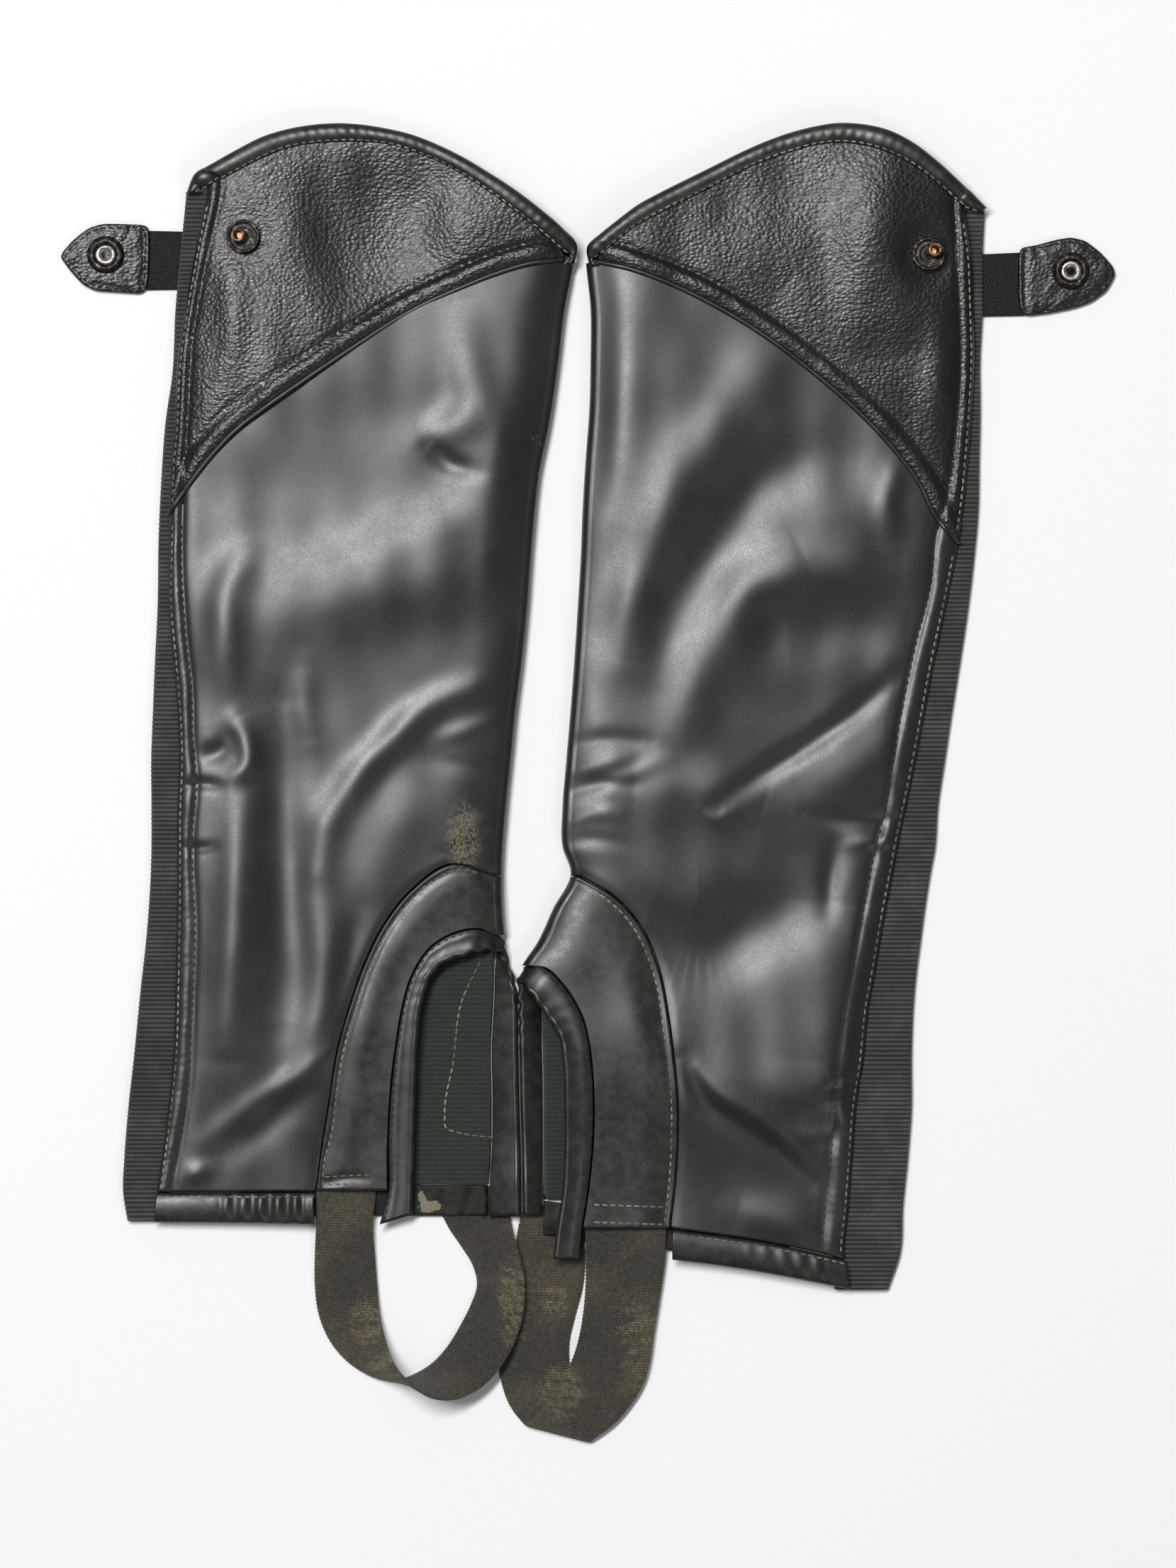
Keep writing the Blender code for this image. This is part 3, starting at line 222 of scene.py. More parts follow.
RIGHT = Chap(
    name="right",
    rearward=1,
    sections=[
        Section(229, 159.3, 151.0, -1.0),
        Section(212, 158.5, 153.5, -1.0),
        Section(190, 158.5, 154.5, 1.0),
        Section(170, 157.5, 155.0, 1.0),
        Section(150, 157.6, 154.0, 0.5),
        Section(130, 157.2, 152.5, -1.0),
        Section(110, 156.8, 150.5, -2.2),
        Section(90, 155.0, 147.3, -3.0),
        Section(70, 152.6, 143.3, -4.2),
        Section(50, 149.6, 139.0, -5.5),
        Section(30, 146.4, 135.2, -7.0),
        Section(10, 143.4, 131.5, -8.7),
        Section(-10, 140.5, 127.4, -10.3),
        Section(-25, 139.5, 124.2, -10.3),
        Section(-36, 137.5, 122.2, -7.0),
        Section(-50, 135.3, 119.5, -14.0),
        Section(-63, 133.6, 117.2, -20.0),
        Section(-75, 132.0, 115.2, -27.5),
        Section(-90, 130.7, 112.5, -28.5),
        Section(-110, 130.0, 110.5, -27.5),
        Section(-130, 130.0, 107.5, -27.0),
        Section(-150, 128.5, 106.0, -26.5),
        Section(-170, 126.5, 104.5, -26.0),
        Section(-188, 125.5, 102.8, -26.0),
        Section(-203, 120.5, 104.0, -26.0),
    ],
    creases=[
        Crease(2.4, 13, [(14, 50), (21, 76), (30, 102), (40, 124), (51, 141), (63, 156), (72, 168)]),
        Crease(-2.0, 12, [(22, 42), (29, 62), (41, 82), (54, 100), (67, 118), (84, 130), (106, 131)]),
        Crease(2.2, 11, [(126, 86), (100, 86), (80, 84), (66, 77), (56, 62), (48, 44), (38, 22)]),
        Crease(1.4, 18, [(122, 118), (100, 104), (84, 96)]),
        Crease(-1.2, 12, [(126, 62), (104, 62), (80, 60)]),
        Crease(1.8, 12, [(126, 18), (108, 6), (88, -6)]),
        Crease(1.8, 12, [(18, -3), (44, -2), (70, -10)]),
        Crease(-3.2, 16, [(22, -58), (46, -66), (68, -56), (88, -38)]),
        Crease(3.8, 24, [(20, -114), (60, -124), (96, -124), (134, -112)]),
        Crease(2.4, 24, [(104, -48), (102, -80), (98, -112)]),
        Crease(-2.2, 8, [(84, -141), (104, -138), (120, -132)]),
        Crease(1.8, 8, [(60, -171), (76, -175), (92, -182)]),
    ],
    top_edge=[
        (160, 231), (155, 236), (150, 240.5), (140, 249.5), (130, 257), (120, 262), (110, 264.3),
        (100, 264.8), (90, 263.3), (80, 260.7), (70, 257), (60, 252.5), (50, 247.5), (40, 242.5),
        (30, 237.5), (20, 232), (10, 224.5), (5, 220.5), (-0.3, 215.5),
    ],
    top_lip=[
        (156, 229.5), (151, 231), (147, 234), (140, 240), (130, 247.5), (120, 252.5), (110, 255.5),
        (100, 256.5), (90, 255.3), (80, 252.5), (70, 249), (60, 244.5), (50, 239), (40, 234), (30, 229),
        (20, 223.5), (10, 216), (6, 213), (2.6, 210.3),
    ],
    panel_seam=[
        (148.4, 96.5), (144, 101), (141, 104), (137, 113), (130, 124.5), (120, 137), (110, 147.5), (90, 165),
        (70, 180), (50, 192), (30, 201.5), (20, 205), (10, 208.5), (3.2, 209.4),
    ],
    guard_edge=[
        (33, -178), (35, -160), (36, -140), (35.5, -120), (33, -100), (30, -80), (25, -65), (20, -55.5),
        (10, -45), (0, -38.5), (-3.3, -37.2),
    ],
    arch=[
        Bind(-14.0, -190.3, -3.6, -190.3, 1, 0),
        Bind(-12.5, -178, -2.4, -178, 1, 0),
        Bind(-10.3, -163, -0.2, -164, 1, 0),
        Bind(-9.5, -145, 1.7, -146, 1, 0),
        Bind(-9.5, -130, 2.2, -130, 1, 0),
        Bind(-10.0, -112, 1.3, -112, 1, 0),
        Bind(-12.0, -100.5, -1.2, -97, 1, 0),
        Bind(-16.0, -94, -5.0, -88, 1, 0),
        Bind(-20.0, -88.5, -10.0, -80.6, 1, 0),
        Bind(-23.7, -83.5, -16.5, -74.3, 1, 0),
        Bind(-26.0, -80.3, -21.5, -72.0, 0.8, 0),
        Bind(-27.5, -79.8, -24.3, -73.5, 0.4, 0),
        Bind(-28.3, -83.0, -22.0, -79.5, 0.1, 0),
        Bind(-28.0, -89.0, -19.6, -87.5, 0, 0),
        Bind(-27.6, -105.0, -18.8, -105, 0, 0),
        Bind(-27.1, -130.0, -18.4, -130, 0, 0),
        Bind(-26.6, -147.0, -18.4, -147, 0, 0.2),
        Bind(-26.3, -162.0, -18.6, -162, 0, 1.75),
        Bind(-26.2, -173.0, -18.8, -173, 0, 1.75),
    ],
    hem_top=[(103, -191), (90, -187.7), (70, -183.7), (50, -180.7), (33.8, -178.6)],
    hem_bottom=[(104.8, -202.6), (90, -199.6), (70, -195.8), (50, -192.7), (33.8, -190.7)],
    hidden_hem=[
        (80, -180.5), (30, -173.8), (-18, -167.3), (-18, -181.3), (30, -187), (80, -193.8),
    ],
    strap=[
        Strap(31.6, -169.0, 4.5, -0.9, -169.0, 4.5),
        Strap(31.4, -179.0, 4.4, -1.0, -179.0, 4.4),
        Strap(31.0, -190.0, 3.4, -1.0, -190.0, 3.6),
        Strap(29.6, -201.0, 3.1, -1.0, -200.5, 3.2),
        Strap(28.0, -211.0, 3.1, -1.7, -210.0, 3.2),
        Strap(26.4, -221.0, 3.2, -3.2, -220.0, 3.4),
        Strap(25.0, -231.0, 3.3, -6.0, -230.0, 3.7),
        Strap(22.4, -240.5, 3.4, -10.4, -239.0, 4.0),
        Strap(17.0, -249.5, 3.4, -15.0, -246.8, 4.1),
        Strap(9.6, -257.8, 3.4, -19.4, -252.4, 4.1),
        Strap(2.4, -262.9, 3.3, -23.3, -256.0, 3.7),
        Strap(1.0, -264.2, 2.0, -25.0, -257.4, 2.2),
        Strap(-0.4, -263.0, 0.75, -26.6, -256.2, 0.75),
        Strap(-2.8, -256.5, 0.65, -30.6, -251.2, 0.65),
        Strap(-5.2, -246.0, 0.65, -34.0, -243.5, 0.65),
        Strap(-7.3, -235.0, 0.65, -35.6, -234.5, 0.65),
        Strap(-7.6, -225.0, 0.65, -35.0, -224.0, 0.65),
        Strap(-5.0, -213.0, 0.65, -33.0, -212.0, 0.65),
        Strap(-2.2, -202.0, 0.65, -31.0, -201.0, 0.65),
        Strap(-1.2, -190.0, 0.65, -29.4, -190.0, 0.65),
        Strap(-1.6, -180.0, 0.65, -28.4, -180.0, 0.65),
        Strap(-1.8, -169.5, 0.65, -25.8, -169.5, 0.65),
    ],
    stud=(136.3, 212),
    tab_webbing=[(159.2, 212.8), (172.0, 213.6), (172.4, 188.2), (159.2, 187.8)],
    tab=[
        (172.6, 215.3), (180, 216.5), (188, 218.7), (194, 219.7), (200, 218.3), (206, 213.6), (211, 208),
        (212, 204.5), (208.5, 198), (202, 193.3), (196, 191.2), (186, 189), (173, 187.4),
    ],
    socket=(194, 206),
)


# ---- curves and surfaces -------------------------------------------------------------------------


def hermite(at, places, values):
    """A smooth curve through the values, read at the places asked for."""
    places, values, at = (np.asarray(v, float) for v in (places, values, at))
    slopes = np.gradient(values, places, axis=0)
    i = np.clip(np.searchsorted(places, at) - 1, 0, len(places) - 2)
    step = places[i + 1] - places[i]
    t = np.clip((at - places[i]) / step, 0, 1)
    if values.ndim > 1:
        step, t = step[:, None], t[:, None]
    return (
        (2 * t**3 - 3 * t**2 + 1) * values[i]
        + (t**3 - 2 * t**2 + t) * step * slopes[i]
        + (3 * t**2 - 2 * t**3) * values[i + 1]
        + (t**3 - t**2) * step * slopes[i + 1]
    )


def lengths(points):
    """How far along a path each of its points lies."""
    points = np.asarray(points, float)
    return np.concatenate([[0], np.cumsum(np.linalg.norm(np.diff(points, axis=0), axis=1))])


def along(points, fractions):
    """The smooth curve through the points, read at fractions of its length."""
    run = lengths(points)
    return hermite(np.asarray(fractions) * run[-1], run, points)


def by_row(points, fractions):
    """The smooth curve through the points, where each of them counts alike."""
    points = np.asarray(points, float)
    return hermite(np.asarray(fractions) * (len(points) - 1), np.arange(len(points)), points)


def evenly(points, count):
    """Evenly spaced points on the smooth curve through the given ones."""
    run = lengths(points)
    return hermite(np.linspace(0, run[-1], count), run, points)


def between(rows, steps):
    """The smooth curve through the rows, with the same number of steps in each interval."""
    rows = np.array(rows, float)
    run = lengths(rows)
    at = np.interp(np.arange((len(rows) - 1) * steps + 1) / steps, np.arange(len(rows)), run)
    return hermite(at, run, rows)


def beside(points, distance):
    """The path moved to its left."""
    points = np.asarray(points, float)
    way = np.gradient(points, axis=0)
    way /= np.linalg.norm(way, axis=1, keepdims=True)
    return points + distance * np.stack([-way[:, 1], way[:, 0]], axis=1)


def smoothstep(value):
    """0 up to 0, 1 from 1 on, and smooth in between."""
    value = np.clip(value, 0, 1)
    return value * value * (3 - 2 * value)


def across(chap, y, column):
    """The x of one of the table's columns at height y."""
    rows = sorted(chap.sections)
    values = [getattr(row, column) for row in rows]
    return hermite(y, [row.y for row in rows], values)


def fold_centre(chap, y):
    """The x of the axis that the leather turns round at the shin fold."""
    return across(chap, y, "fold") + chap.rearward * FOLD_RADIUS


def nearest_on(line, x, y):
    """How far each place is from a path, and at what share of the path it comes nearest."""
    run = lengths(line)
    nearest, share = np.full(np.shape(x), np.inf), np.zeros(np.shape(x))
    for start, end, before, after in zip(line[:-1], line[1:], run[:-1], run[1:]):
        way = end - start
        t = np.clip(((x - start[0]) * way[0] + (y - start[1]) * way[1]) / (way @ way), 0, 1)
        away = np.hypot(x - start[0] - t * way[0], y - start[1] - t * way[1])
        closer = away < nearest
        nearest = np.where(closer, away, nearest)
        share = np.where(closer, (before + t * (after - before)) / run[-1], share)
    return nearest, share


def crease_height(crease, x, y):
    """How much a crease adds at each place. It fades towards its ends."""
    nearest, share = nearest_on(evenly(crease.line, 24), x, y)
    fade = 0.35 + 0.65 * np.sin(math.pi * share)
    return crease.height * fade * np.exp(-((nearest / crease.width) ** 2))


def crown(chap, x, y):
    """The height of the visible leather's upper face."""
    x, y = np.broadcast_arrays(np.asarray(x, float), np.asarray(y, float))
    shape, x, y = x.shape, x.ravel(), y.ravel()
    fold, seam = fold_centre(chap, y), across(chap, y, "seam")
    rearwards = np.clip((x - fold) / (seam - fold), 0, 1)
    # It bows less towards the hem and towards the top, and is flat where it is sewn
    bow = SWELL * (1 - 0.65 * smoothstep((-95 - y) / 70)) * (1 - 0.4 * smoothstep((y - 170) / 80))
    height = 2 * FOLD_RADIUS + (SEAM_TOP - 2 * FOLD_RADIUS) * smoothstep(rearwards)
    height = height + bow * (1 - np.abs(2 * rearwards - 1) ** 8)
    height = height + TOP_EDGE_LIFT * smoothstep((y - 190) / 40) * rearwards
    relief = sum(crease_height(crease, x, y) for crease in chap.creases)
    flat_edges = smoothstep(rearwards / 0.12) * smoothstep((1 - rearwards) / 0.08)
    return (height + relief * flat_edges).reshape(shape)


COLUMNS = 14  # points on the seam across a chap
LIP_COLUMNS = COLUMNS + 4  # points on the lip of its top binding


def seam_line(chap, offset):
    """The seam between leg panel and top panel, moved down towards the foot."""
    return beside(evenly(chap.panel_seam, COLUMNS), chap.rearward * offset)


def lip_line(chap, offset=0.0):
    """The stitched lip of the top binding, moved down towards the foot."""
    return beside(evenly(chap.top_lip, LIP_COLUMNS), chap.rearward * offset)


def visible_binds(chap):
    """The rows of the arch's binding that the guard is sewn to on the visible side."""
    return [row for row in chap.arch[1:] if row.layer == 1]


def guard_line(chap, offset=0.0):
    """The guard's outer edge, moved away from the arch."""
    return beside(evenly(chap.guard_edge, len(visible_binds(chap)) + 1), -chap.rearward * offset)


def zip_front(chap, y):
    """The x where the hidden leather starts, in front of the elastic and the zip."""
    return across(chap, y, "edge") - chap.rearward * (ELASTIC_HIDDEN + GAP + ZIP_WIDTH + ZIP_GAP)


def front_part(chap, line):
    """What lies in front of the zip, of a plan curve that runs from the rear to the fold."""
    ahead = (zip_front(chap, line[:, 1]) - line[:, 0]) * chap.rearward
    first = int(np.argmax(ahead > 0))
    t = ahead[first - 1] / (ahead[first - 1] - ahead[first])
    return np.vstack([line[first - 1] + t * (line[first] - line[first - 1]), line[first:]])


def side_heights(chap):
    """The heights that the elastic and the zip are sewn together at."""
    return np.linspace(chap.sections[0].y - 0.8, chap.sections[-1].y, 24)


# ---- seams and wrinkles --------------------------------------------------------------------------

# What only the looks have. second_row is the second row of stitches beside the elastic, as y and x. The
# wrinkles of the leg, the top panel and the guard may reach the edges of the leather. mended and lining_row
# are rows of stitches on the guard, over the strap's ends, and on the lining.
Detail = namedtuple("Detail", "second_row wrinkles top_wrinkles guard_wrinkles mended lining_row")

DETAILS = {
    "left": Detail(
        second_row=[
            (237, -147.0), (203, -154.5), (180, -158.5), (150, -160.5), (115, -162.5), (90, -163.0),
            (58, -161.0), (40, -159.0), (20, -158.5), (0, -157.0), (-20, -158.5), (-60, -157.5),
            (-100, -159.0), (-120, -160.0), (-140, -163.0), (-164, -167.5), (-178, -169.0),
        ],
        wrinkles=[
            Crease(1.5, 4.5, [(-142, 26), (-137, 18), (-136, 8), (-144, 1)]),
            Crease(-1.2, 4.0, [(-156, 11), (-148, 13), (-145, 17)]),
            Crease(-0.9, 2.2, [(-165, -1), (-156, 0), (-146, -1)]),
            Crease(-0.8, 2.0, [(-166, -25), (-158, -26), (-150, -25)]),
            Crease(-1.3, 4.0, [(-63, 135), (-55, 128), (-46, 125)]),
            Crease(1.0, 6.0, [(-113, 48), (-114, 32), (-112, 18)]),
            Crease(0.7, 4.0, [(-60, 19), (-50, 21), (-36, 26)]),
            Crease(-0.4, 3.6, [(-68, 12), (-54, 8), (-44, 7)]),
            Crease(0.6, 3.4, [(-50, -19), (-43, -16), (-36, -15)]),
            Crease(-0.4, 3.0, [(-60, -28), (-50, -26), (-40, -24)]),
            Crease(-0.7, 5.0, [(-92, -52), (-97, -72), (-101, -96)]),
            Crease(1.0, 5.0, [(-97, -104), (-113, -115), (-133, -128), (-153, -143)]),
            Crease(-0.7, 6.0, [(-146, -150), (-130, -138), (-112, -123)]),
            Crease(0.9, 6.0, [(-141, -8), (-141, -40), (-142, -72), (-145, -104)]),
            Crease(0.9, 4.0, [(-162, -158), (-152, -154)]),
        ],
        top_wrinkles=[
            Crease(3.2, 34, [(-132, 130), (-130, 190), (-122, 262)]),
            Crease(-3.2, 30, [(-82, 184), (-84, 225), (-90, 254)]),
            Crease(1.8, 30, [(-100, 270), (-60, 258), (-20, 228)]),
            Crease(1.8, 14, [(-44, 240), (-48, 224), (-58, 208)]),
            Crease(1.2, 6, [(-143, 204), (-142, 180), (-144, 160)]),
        ],
        guard_wrinkles=[
            Crease(-0.8, 1.6, [(-106, -160), (-97, -158), (-89, -158)]),
            Crease(0.8, 6.0, [(-96, -140), (-92, -105), (-84, -75), (-66, -48)]),
        ],
        mended=[[(-106, -157.5), (-87, -156.5)], [(-105, -160.5), (-86, -160)]],
        lining_row=[
            (-43, -71), (-50.6, -87), (-54, -111), (-57.5, -133), (-57, -138), (-52, -140), (-38, -142),
        ],
    ),
    "right": Detail(
        second_row=[
            (229, 147.0), (200, 148.5), (170, 149.5), (140, 147.5), (115, 144.0), (103, 140.4), (77, 137.0),
            (57, 131.8), (30, 126.0), (5, 121.6), (-12, 119.0), (-27, 115.0), (-50, 110.5), (-80, 105.0),
            (-100, 101.5), (-120, 99.5), (-150, 97.5), (-187, 94.0), (-204, 94.0),
        ],
        wrinkles=[
            Crease(0.5, 3.0, [(-9, 4), (2, 7), (16, 10)]),
            Crease(0.4, 3.4, [(8, -1), (20, 5), (32, 10)]),
            Crease(-0.7, 3.6, [(-8, 15), (8, 18), (24, 17)]),
            Crease(-0.6, 2.8, [(-9, -4), (4, 0), (18, 0)]),
            Crease(0.5, 3.0, [(-9, -16), (2, -12), (12, -12)]),
            Crease(-0.4, 3.0, [(-9, -24), (2, -22), (14, -24)]),
            Crease(0.6, 3.0, [(46, -10), (52, -14), (58, -12)]),
            Crease(-1.3, 4.4, [(124, 44), (108, 30), (93, 19), (76, 8), (60, -2), (50, -9)]),
            Crease(-1.4, 3.8, [(38, -110), (46, -126), (60, -137), (75, -147), (89, -160)]),
            Crease(0.8, 3.4, [(44, -114), (54, -125), (68, -133), (82, -144), (93, -154)]),
            Crease(-0.8, 2.4, [(112, -119), (104, -121), (94, -124)]),
            Crease(-0.9, 3.4, [(130, -14), (119, -15), (100, -14), (88, -12)]),
            Crease(0.9, 3.0, [(126, -22), (117, -23), (106, -24)]),
            Crease(-1.0, 4.0, [(99, -24), (97, -38), (96, -52)]),
            Crease(1.0, 5.0, [(124, 128), (120, 110), (122, 96)]),
        ],
        top_wrinkles=[
            Crease(4.2, 30, [(120, 262), (121, 220), (124, 172)]),
            Crease(1.8, 16, [(116, 252), (117, 222), (120, 192)]),
            Crease(1.4, 7, [(141, 192), (141, 168), (139, 144)]),
            Crease(1.4, 16, [(80, 200), (66, 212), (50, 222)]),
            Crease(-1.0, 10, [(128, 236), (128, 210), (130, 186)]),
        ],
        guard_wrinkles=[Crease(0.8, 6.0, [(22, -140), (22, -105), (14, -78), (0, -56)])],
        mended=[[(2, -168.5), (31, -169.5)], [(2, -175.5), (31, -176.5)]],
        lining_row=[],
    ),
}

STITCH_GROOVE = (0.5, 1.3)  # depth and half-width of the line that a row of stitches pulls in
BAND_BULGE = 0.9  # how far the folded-in leather swells between two rows of stitches
EDGE_ROW = 1.4  # from the leather's rear edge to its first row of stitches
PIPING_ROW = 8.0  # from the piping to the second row of stitches on the top panel
GUARD_ROW = 2.5  # from the guard's edge to its row of stitches
GUARD_LIFT = 0.7  # the guard lies on the leg's leather
EDGE_ROUND = 0.9  # radius of a cut edge
SHIN_SWELL = 2.0  # how far the leather swells beside the shin fold, from the calf up
CALF, CALF_RISE = 85, 45  # the height where that starts, and the height that it grows over
SHIN_NEAR, SHIN_FAR = 9, 28  # how far behind the fold it is full, and how far behind it fades
GUARD_PRESS = (0.5, 2.2)  # depth and half-width of the line that the guard's edge presses into the leg
STUD_DIMPLE = (0.8, 8, 4)  # depth, radius and half-width of the dimple round the stud
WAVES = 9  # in an undulation


def undulation(x, y, size, seed):
    """A quiet uneven waviness, about as high as 1, with waves of about that size."""
    draw = np.random.default_rng(seed)
    total = np.zeros(np.shape(x))
    angles, phases, stretches = (draw.uniform(*span, WAVES) for span in ((0, math.pi), (0, 6.28), (0.6, 1.7)))
    for angle, phase, stretch in zip(angles, phases, stretches):
        place = x * math.cos(angle) + y * math.sin(angle)
        total += np.cos(place * 2 * math.pi / (size * stretch) + phase)
    return total / 3


def distance_to(points, x, y):
    """The distance from each place to the smooth curve through the points."""
    return nearest_on(along(points, np.linspace(0, 1, 60)), x, y)[0]


def groove(distance):
    """The line that a row of stitches pulls in, at a distance from it."""
    depth, width = STITCH_GROOVE
    return -depth * np.exp(-((distance / width) ** 2))


def second_row_x(chap, y):
    """The x of the second row of stitches beside the elastic."""
    rows = sorted(DETAILS[chap.name].second_row)
    return hermite(y, [row[0] for row in rows], [row[1] for row in rows])


def fullness(chap, x, y):
    """How far the leather swells beside the shin fold."""
    behind = np.maximum((x - fold_centre(chap, y.ravel()).reshape(y.shape)) * chap.rearward, 0)
    near = 1 - np.exp(-((behind / SHIN_NEAR) ** 2))
    return SHIN_SWELL * smoothstep((y - CALF) / CALF_RISE) * near * np.exp(-((behind / SHIN_FAR) ** 2))


def leather_top(chap, x, y, wrinkles):
    """The height of the visible leather's upper face, with its seam along the elastic."""
    x, y = np.asarray(x, float), np.asarray(y, float)
    height = crown(chap, x, y) + fullness(chap, x, y)
    for wrinkle in wrinkles:
        height = height + crease_height(wrinkle, x, y)
    flat_y = y.ravel()
    row = second_row_x(chap, flat_y).reshape(y.shape)
    seam = across(chap, flat_y, "seam").reshape(y.shape)
    into = (x - row) * chap.rearward
    share = np.clip(into / np.maximum((seam - row) * chap.rearward, 1.0), 0, 1)
    uneven = 1 + 0.12 * undulation(x, y, size=14, seed=5)
    gathers = 0.10 * np.cos(2 * math.pi * y / 3.1 + 1.5 * undulation(x, y, size=12, seed=7))
    height = height + (BAND_BULGE * uneven + gathers) * np.sin(math.pi * share) ** 0.8 + groove(into)
    away = np.clip(-into / 6, 0, 1)
    return height + 0.16 * undulation(x, y, size=24, seed=11) * away


def leg_top(chap, x, y):
    """The leg's leather, which the guard's edge presses down a little."""
    height = leather_top(chap, x, y, DETAILS[chap.name].wrinkles)
    depth, width = GUARD_PRESS
    return height - depth * np.exp(-((distance_to(chap.guard_edge, x, y) / width) ** 2))


def top_top(chap, x, y):
    """The pebbled panel, with its second row of stitches beside the piping."""
    height = leather_top(chap, x, y, DETAILS[chap.name].top_wrinkles)
    distance = distance_to(chap.panel_seam, x, y)
    share = np.clip(distance / PIPING_ROW, 0, 1)
    slanted = x - 0.6 * chap.rearward * y
    gathers = 0.12 * np.cos(2 * math.pi * slanted / 2.8 + 1.2 * undulation(x, y, size=12, seed=7))
    bulge = BAND_BULGE + 0.1 * undulation(x, y, size=14, seed=6) + gathers
    height = height + bulge * np.sin(math.pi * share) + groove(distance - PIPING_ROW)
    stud_x, stud_y = chap.stud
    around = np.hypot(x - stud_x, y - stud_y)
    depth, radius, width = STUD_DIMPLE
    return height - depth * np.exp(-((around - radius) / width) ** 2)


def guard_top(chap, x, y):
    """The guard, which lies on the leg's leather and swells between its two seams."""
    height = leather_top(chap, x, y, DETAILS[chap.name].guard_wrinkles)
    distance = distance_to(chap.guard_edge, x, y)
    height = height + GUARD_LIFT * smoothstep((distance + 2) / 3) + groove(distance - GUARD_ROW)
    return height + 0.35 * smoothstep((distance - 3) / 8)


# ---- meshes --------------------------------------------------------------------------------------

NEAR_EDGE = 1.5  # how far from an edge the points lie closer together
TURNED_STEPS = 40  # round a turned piece
STITCH_PITCH = 3.2
STITCH = 2.5  # length of one stitch
THREAD = 0.36  # its radius
ON_LEATHER = 0.12  # how high a row of stitches lies over the leather


def spread(length, step):
    """Fractions of a length about a step apart, and closer at both ends, where edges are rounded."""
    near = NEAR_EDGE * np.array([0, 0.15, 0.4, 0.7])
    count = max(2, round((length - 2 * NEAR_EDGE) / step) + 1)
    middle = np.linspace(NEAR_EDGE, length - NEAR_EDGE, count)
    return np.concatenate([near, middle, length - near[::-1]]) / length


def coons(upper, lower, rear, front, u, v):
    """Plan points filling four edges that are read at the fractions u and v."""
    u, v = u[None, :, None], v[:, None, None]
    flat = (1 - v) * upper[None] + v * lower[None] + (1 - u) * rear[:, None] + u * front[:, None]
    corners = (1 - u) * ((1 - v) * upper[0] + v * lower[0]) + u * ((1 - v) * upper[-1] + v * lower[-1])
    return flat - corners


def to_edge(grid, axis):
    """The distance of each point of a grid from the nearer end of its row or column."""
    steps = np.linalg.norm(np.diff(grid, axis=axis), axis=2)
    run = np.cumsum(steps, axis=axis)
    run = np.insert(run, 0, 0, axis=axis)
    total = run.take([-1], axis=axis)
    return np.minimum(run, total - run)


def edge_drop(distance, radius=EDGE_ROUND):
    """How much lower a rounded edge is at a distance from it."""
    short = np.clip(radius - distance, 0, radius)
    return radius - np.sqrt(radius**2 - short**2)


def add_piece(name, points, faces, finish, weave=None):
    """A closed mesh with its faces pointing out. weave is a map of each point in metres."""
    points = np.asarray(points, float) * MM
    mesh = bpy.data.meshes.new(name)
    triangles = np.array([face[:3] for face in faces] + [(f[0], f[2], f[3]) for f in faces if len(f) == 4])
    a, b, c = (points[triangles[:, k]] for k in range(3))
    if np.einsum("ij,ij->i", a, np.cross(b, c)).sum() < 0:
        faces = [face[::-1] for face in faces]
    mesh.from_pydata(points.tolist(), [], faces)
    mesh.materials.append(finish)
    mesh.shade_smooth()
    if weave is not None:
        corners = np.empty(len(mesh.loops), int)
        mesh.loops.foreach_get("vertex_index", corners)
        layer = mesh.uv_layers.new(name="weave")
        layer.uv.foreach_set("vector", (np.asarray(weave) * MM)[corners].astype(np.float32).ravel())
    made = bpy.data.objects.new(name, mesh)
    bpy.context.scene.collection.objects.link(made)
    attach(made, "root")
    return made


def grid_faces(rows, columns, first=0):
    """The faces between neighbouring points of a grid."""
    index = first + np.arange(rows * columns).reshape(rows, columns)
    corners = (index[:-1, :-1], index[:-1, 1:], index[1:, 1:], index[1:, :-1])
    return np.stack([c.ravel() for c in corners], axis=1).tolist()


def wall(name, outer, inner, finish, weave=None):
    """A sheet between two grids of points, closed round its edge."""
    rows, columns = outer.shape[:2]
    other = rows * columns
    faces = grid_faces(rows, columns) + [face[::-1] for face in grid_faces(rows, columns, other)]
    rim = list(range(columns)) + [r * columns + columns - 1 for r in range(1, rows)]
    rim += [(rows - 1) * columns + c for c in range(columns - 2, -1, -1)]
    rim += [r * columns for r in range(rows - 2, 0, -1)]
    faces += [[b, a, other + a, other + b] for a, b in zip(rim, rim[1:] + rim[:1])]
    both = None if weave is None else np.concatenate([weave.reshape(-1, 2)] * 2)
    return add_piece(name, np.concatenate([outer.reshape(-1, 3), inner.reshape(-1, 3)]), faces, finish, both)


def tube(name, sections, finish, weave=None, closed=False):
    """A bar through closed sections. It has flat ends, unless it closes on itself."""
    stations, corners = sections.shape[:2]
    faces = []
    last = stations if closed else stations - 1
    for s in range(last):
        here, there = s * corners, (s + 1) % stations * corners
        for k in range(corners):
            after = (k + 1) % corners
            faces.append([here + k, here + after, there + after, there + k])
    points = sections.reshape(-1, 3)
    if not closed:
        middles = sections[[0, -1]].mean(axis=1)
        centre = len(points)
        points = np.concatenate([points, middles])
        end = (stations - 1) * corners
        for k in range(corners):
            after = (k + 1) % corners
            faces.append([centre, after, k])
            faces.append([centre + 1, end + k, end + after])
        weave = None if weave is None else np.concatenate([weave.reshape(-1, 2), weave[0, :1], weave[-1, :1]])
    elif weave is not None:
        weave = weave.reshape(-1, 2)
    return add_piece(name, points, faces, finish, weave)


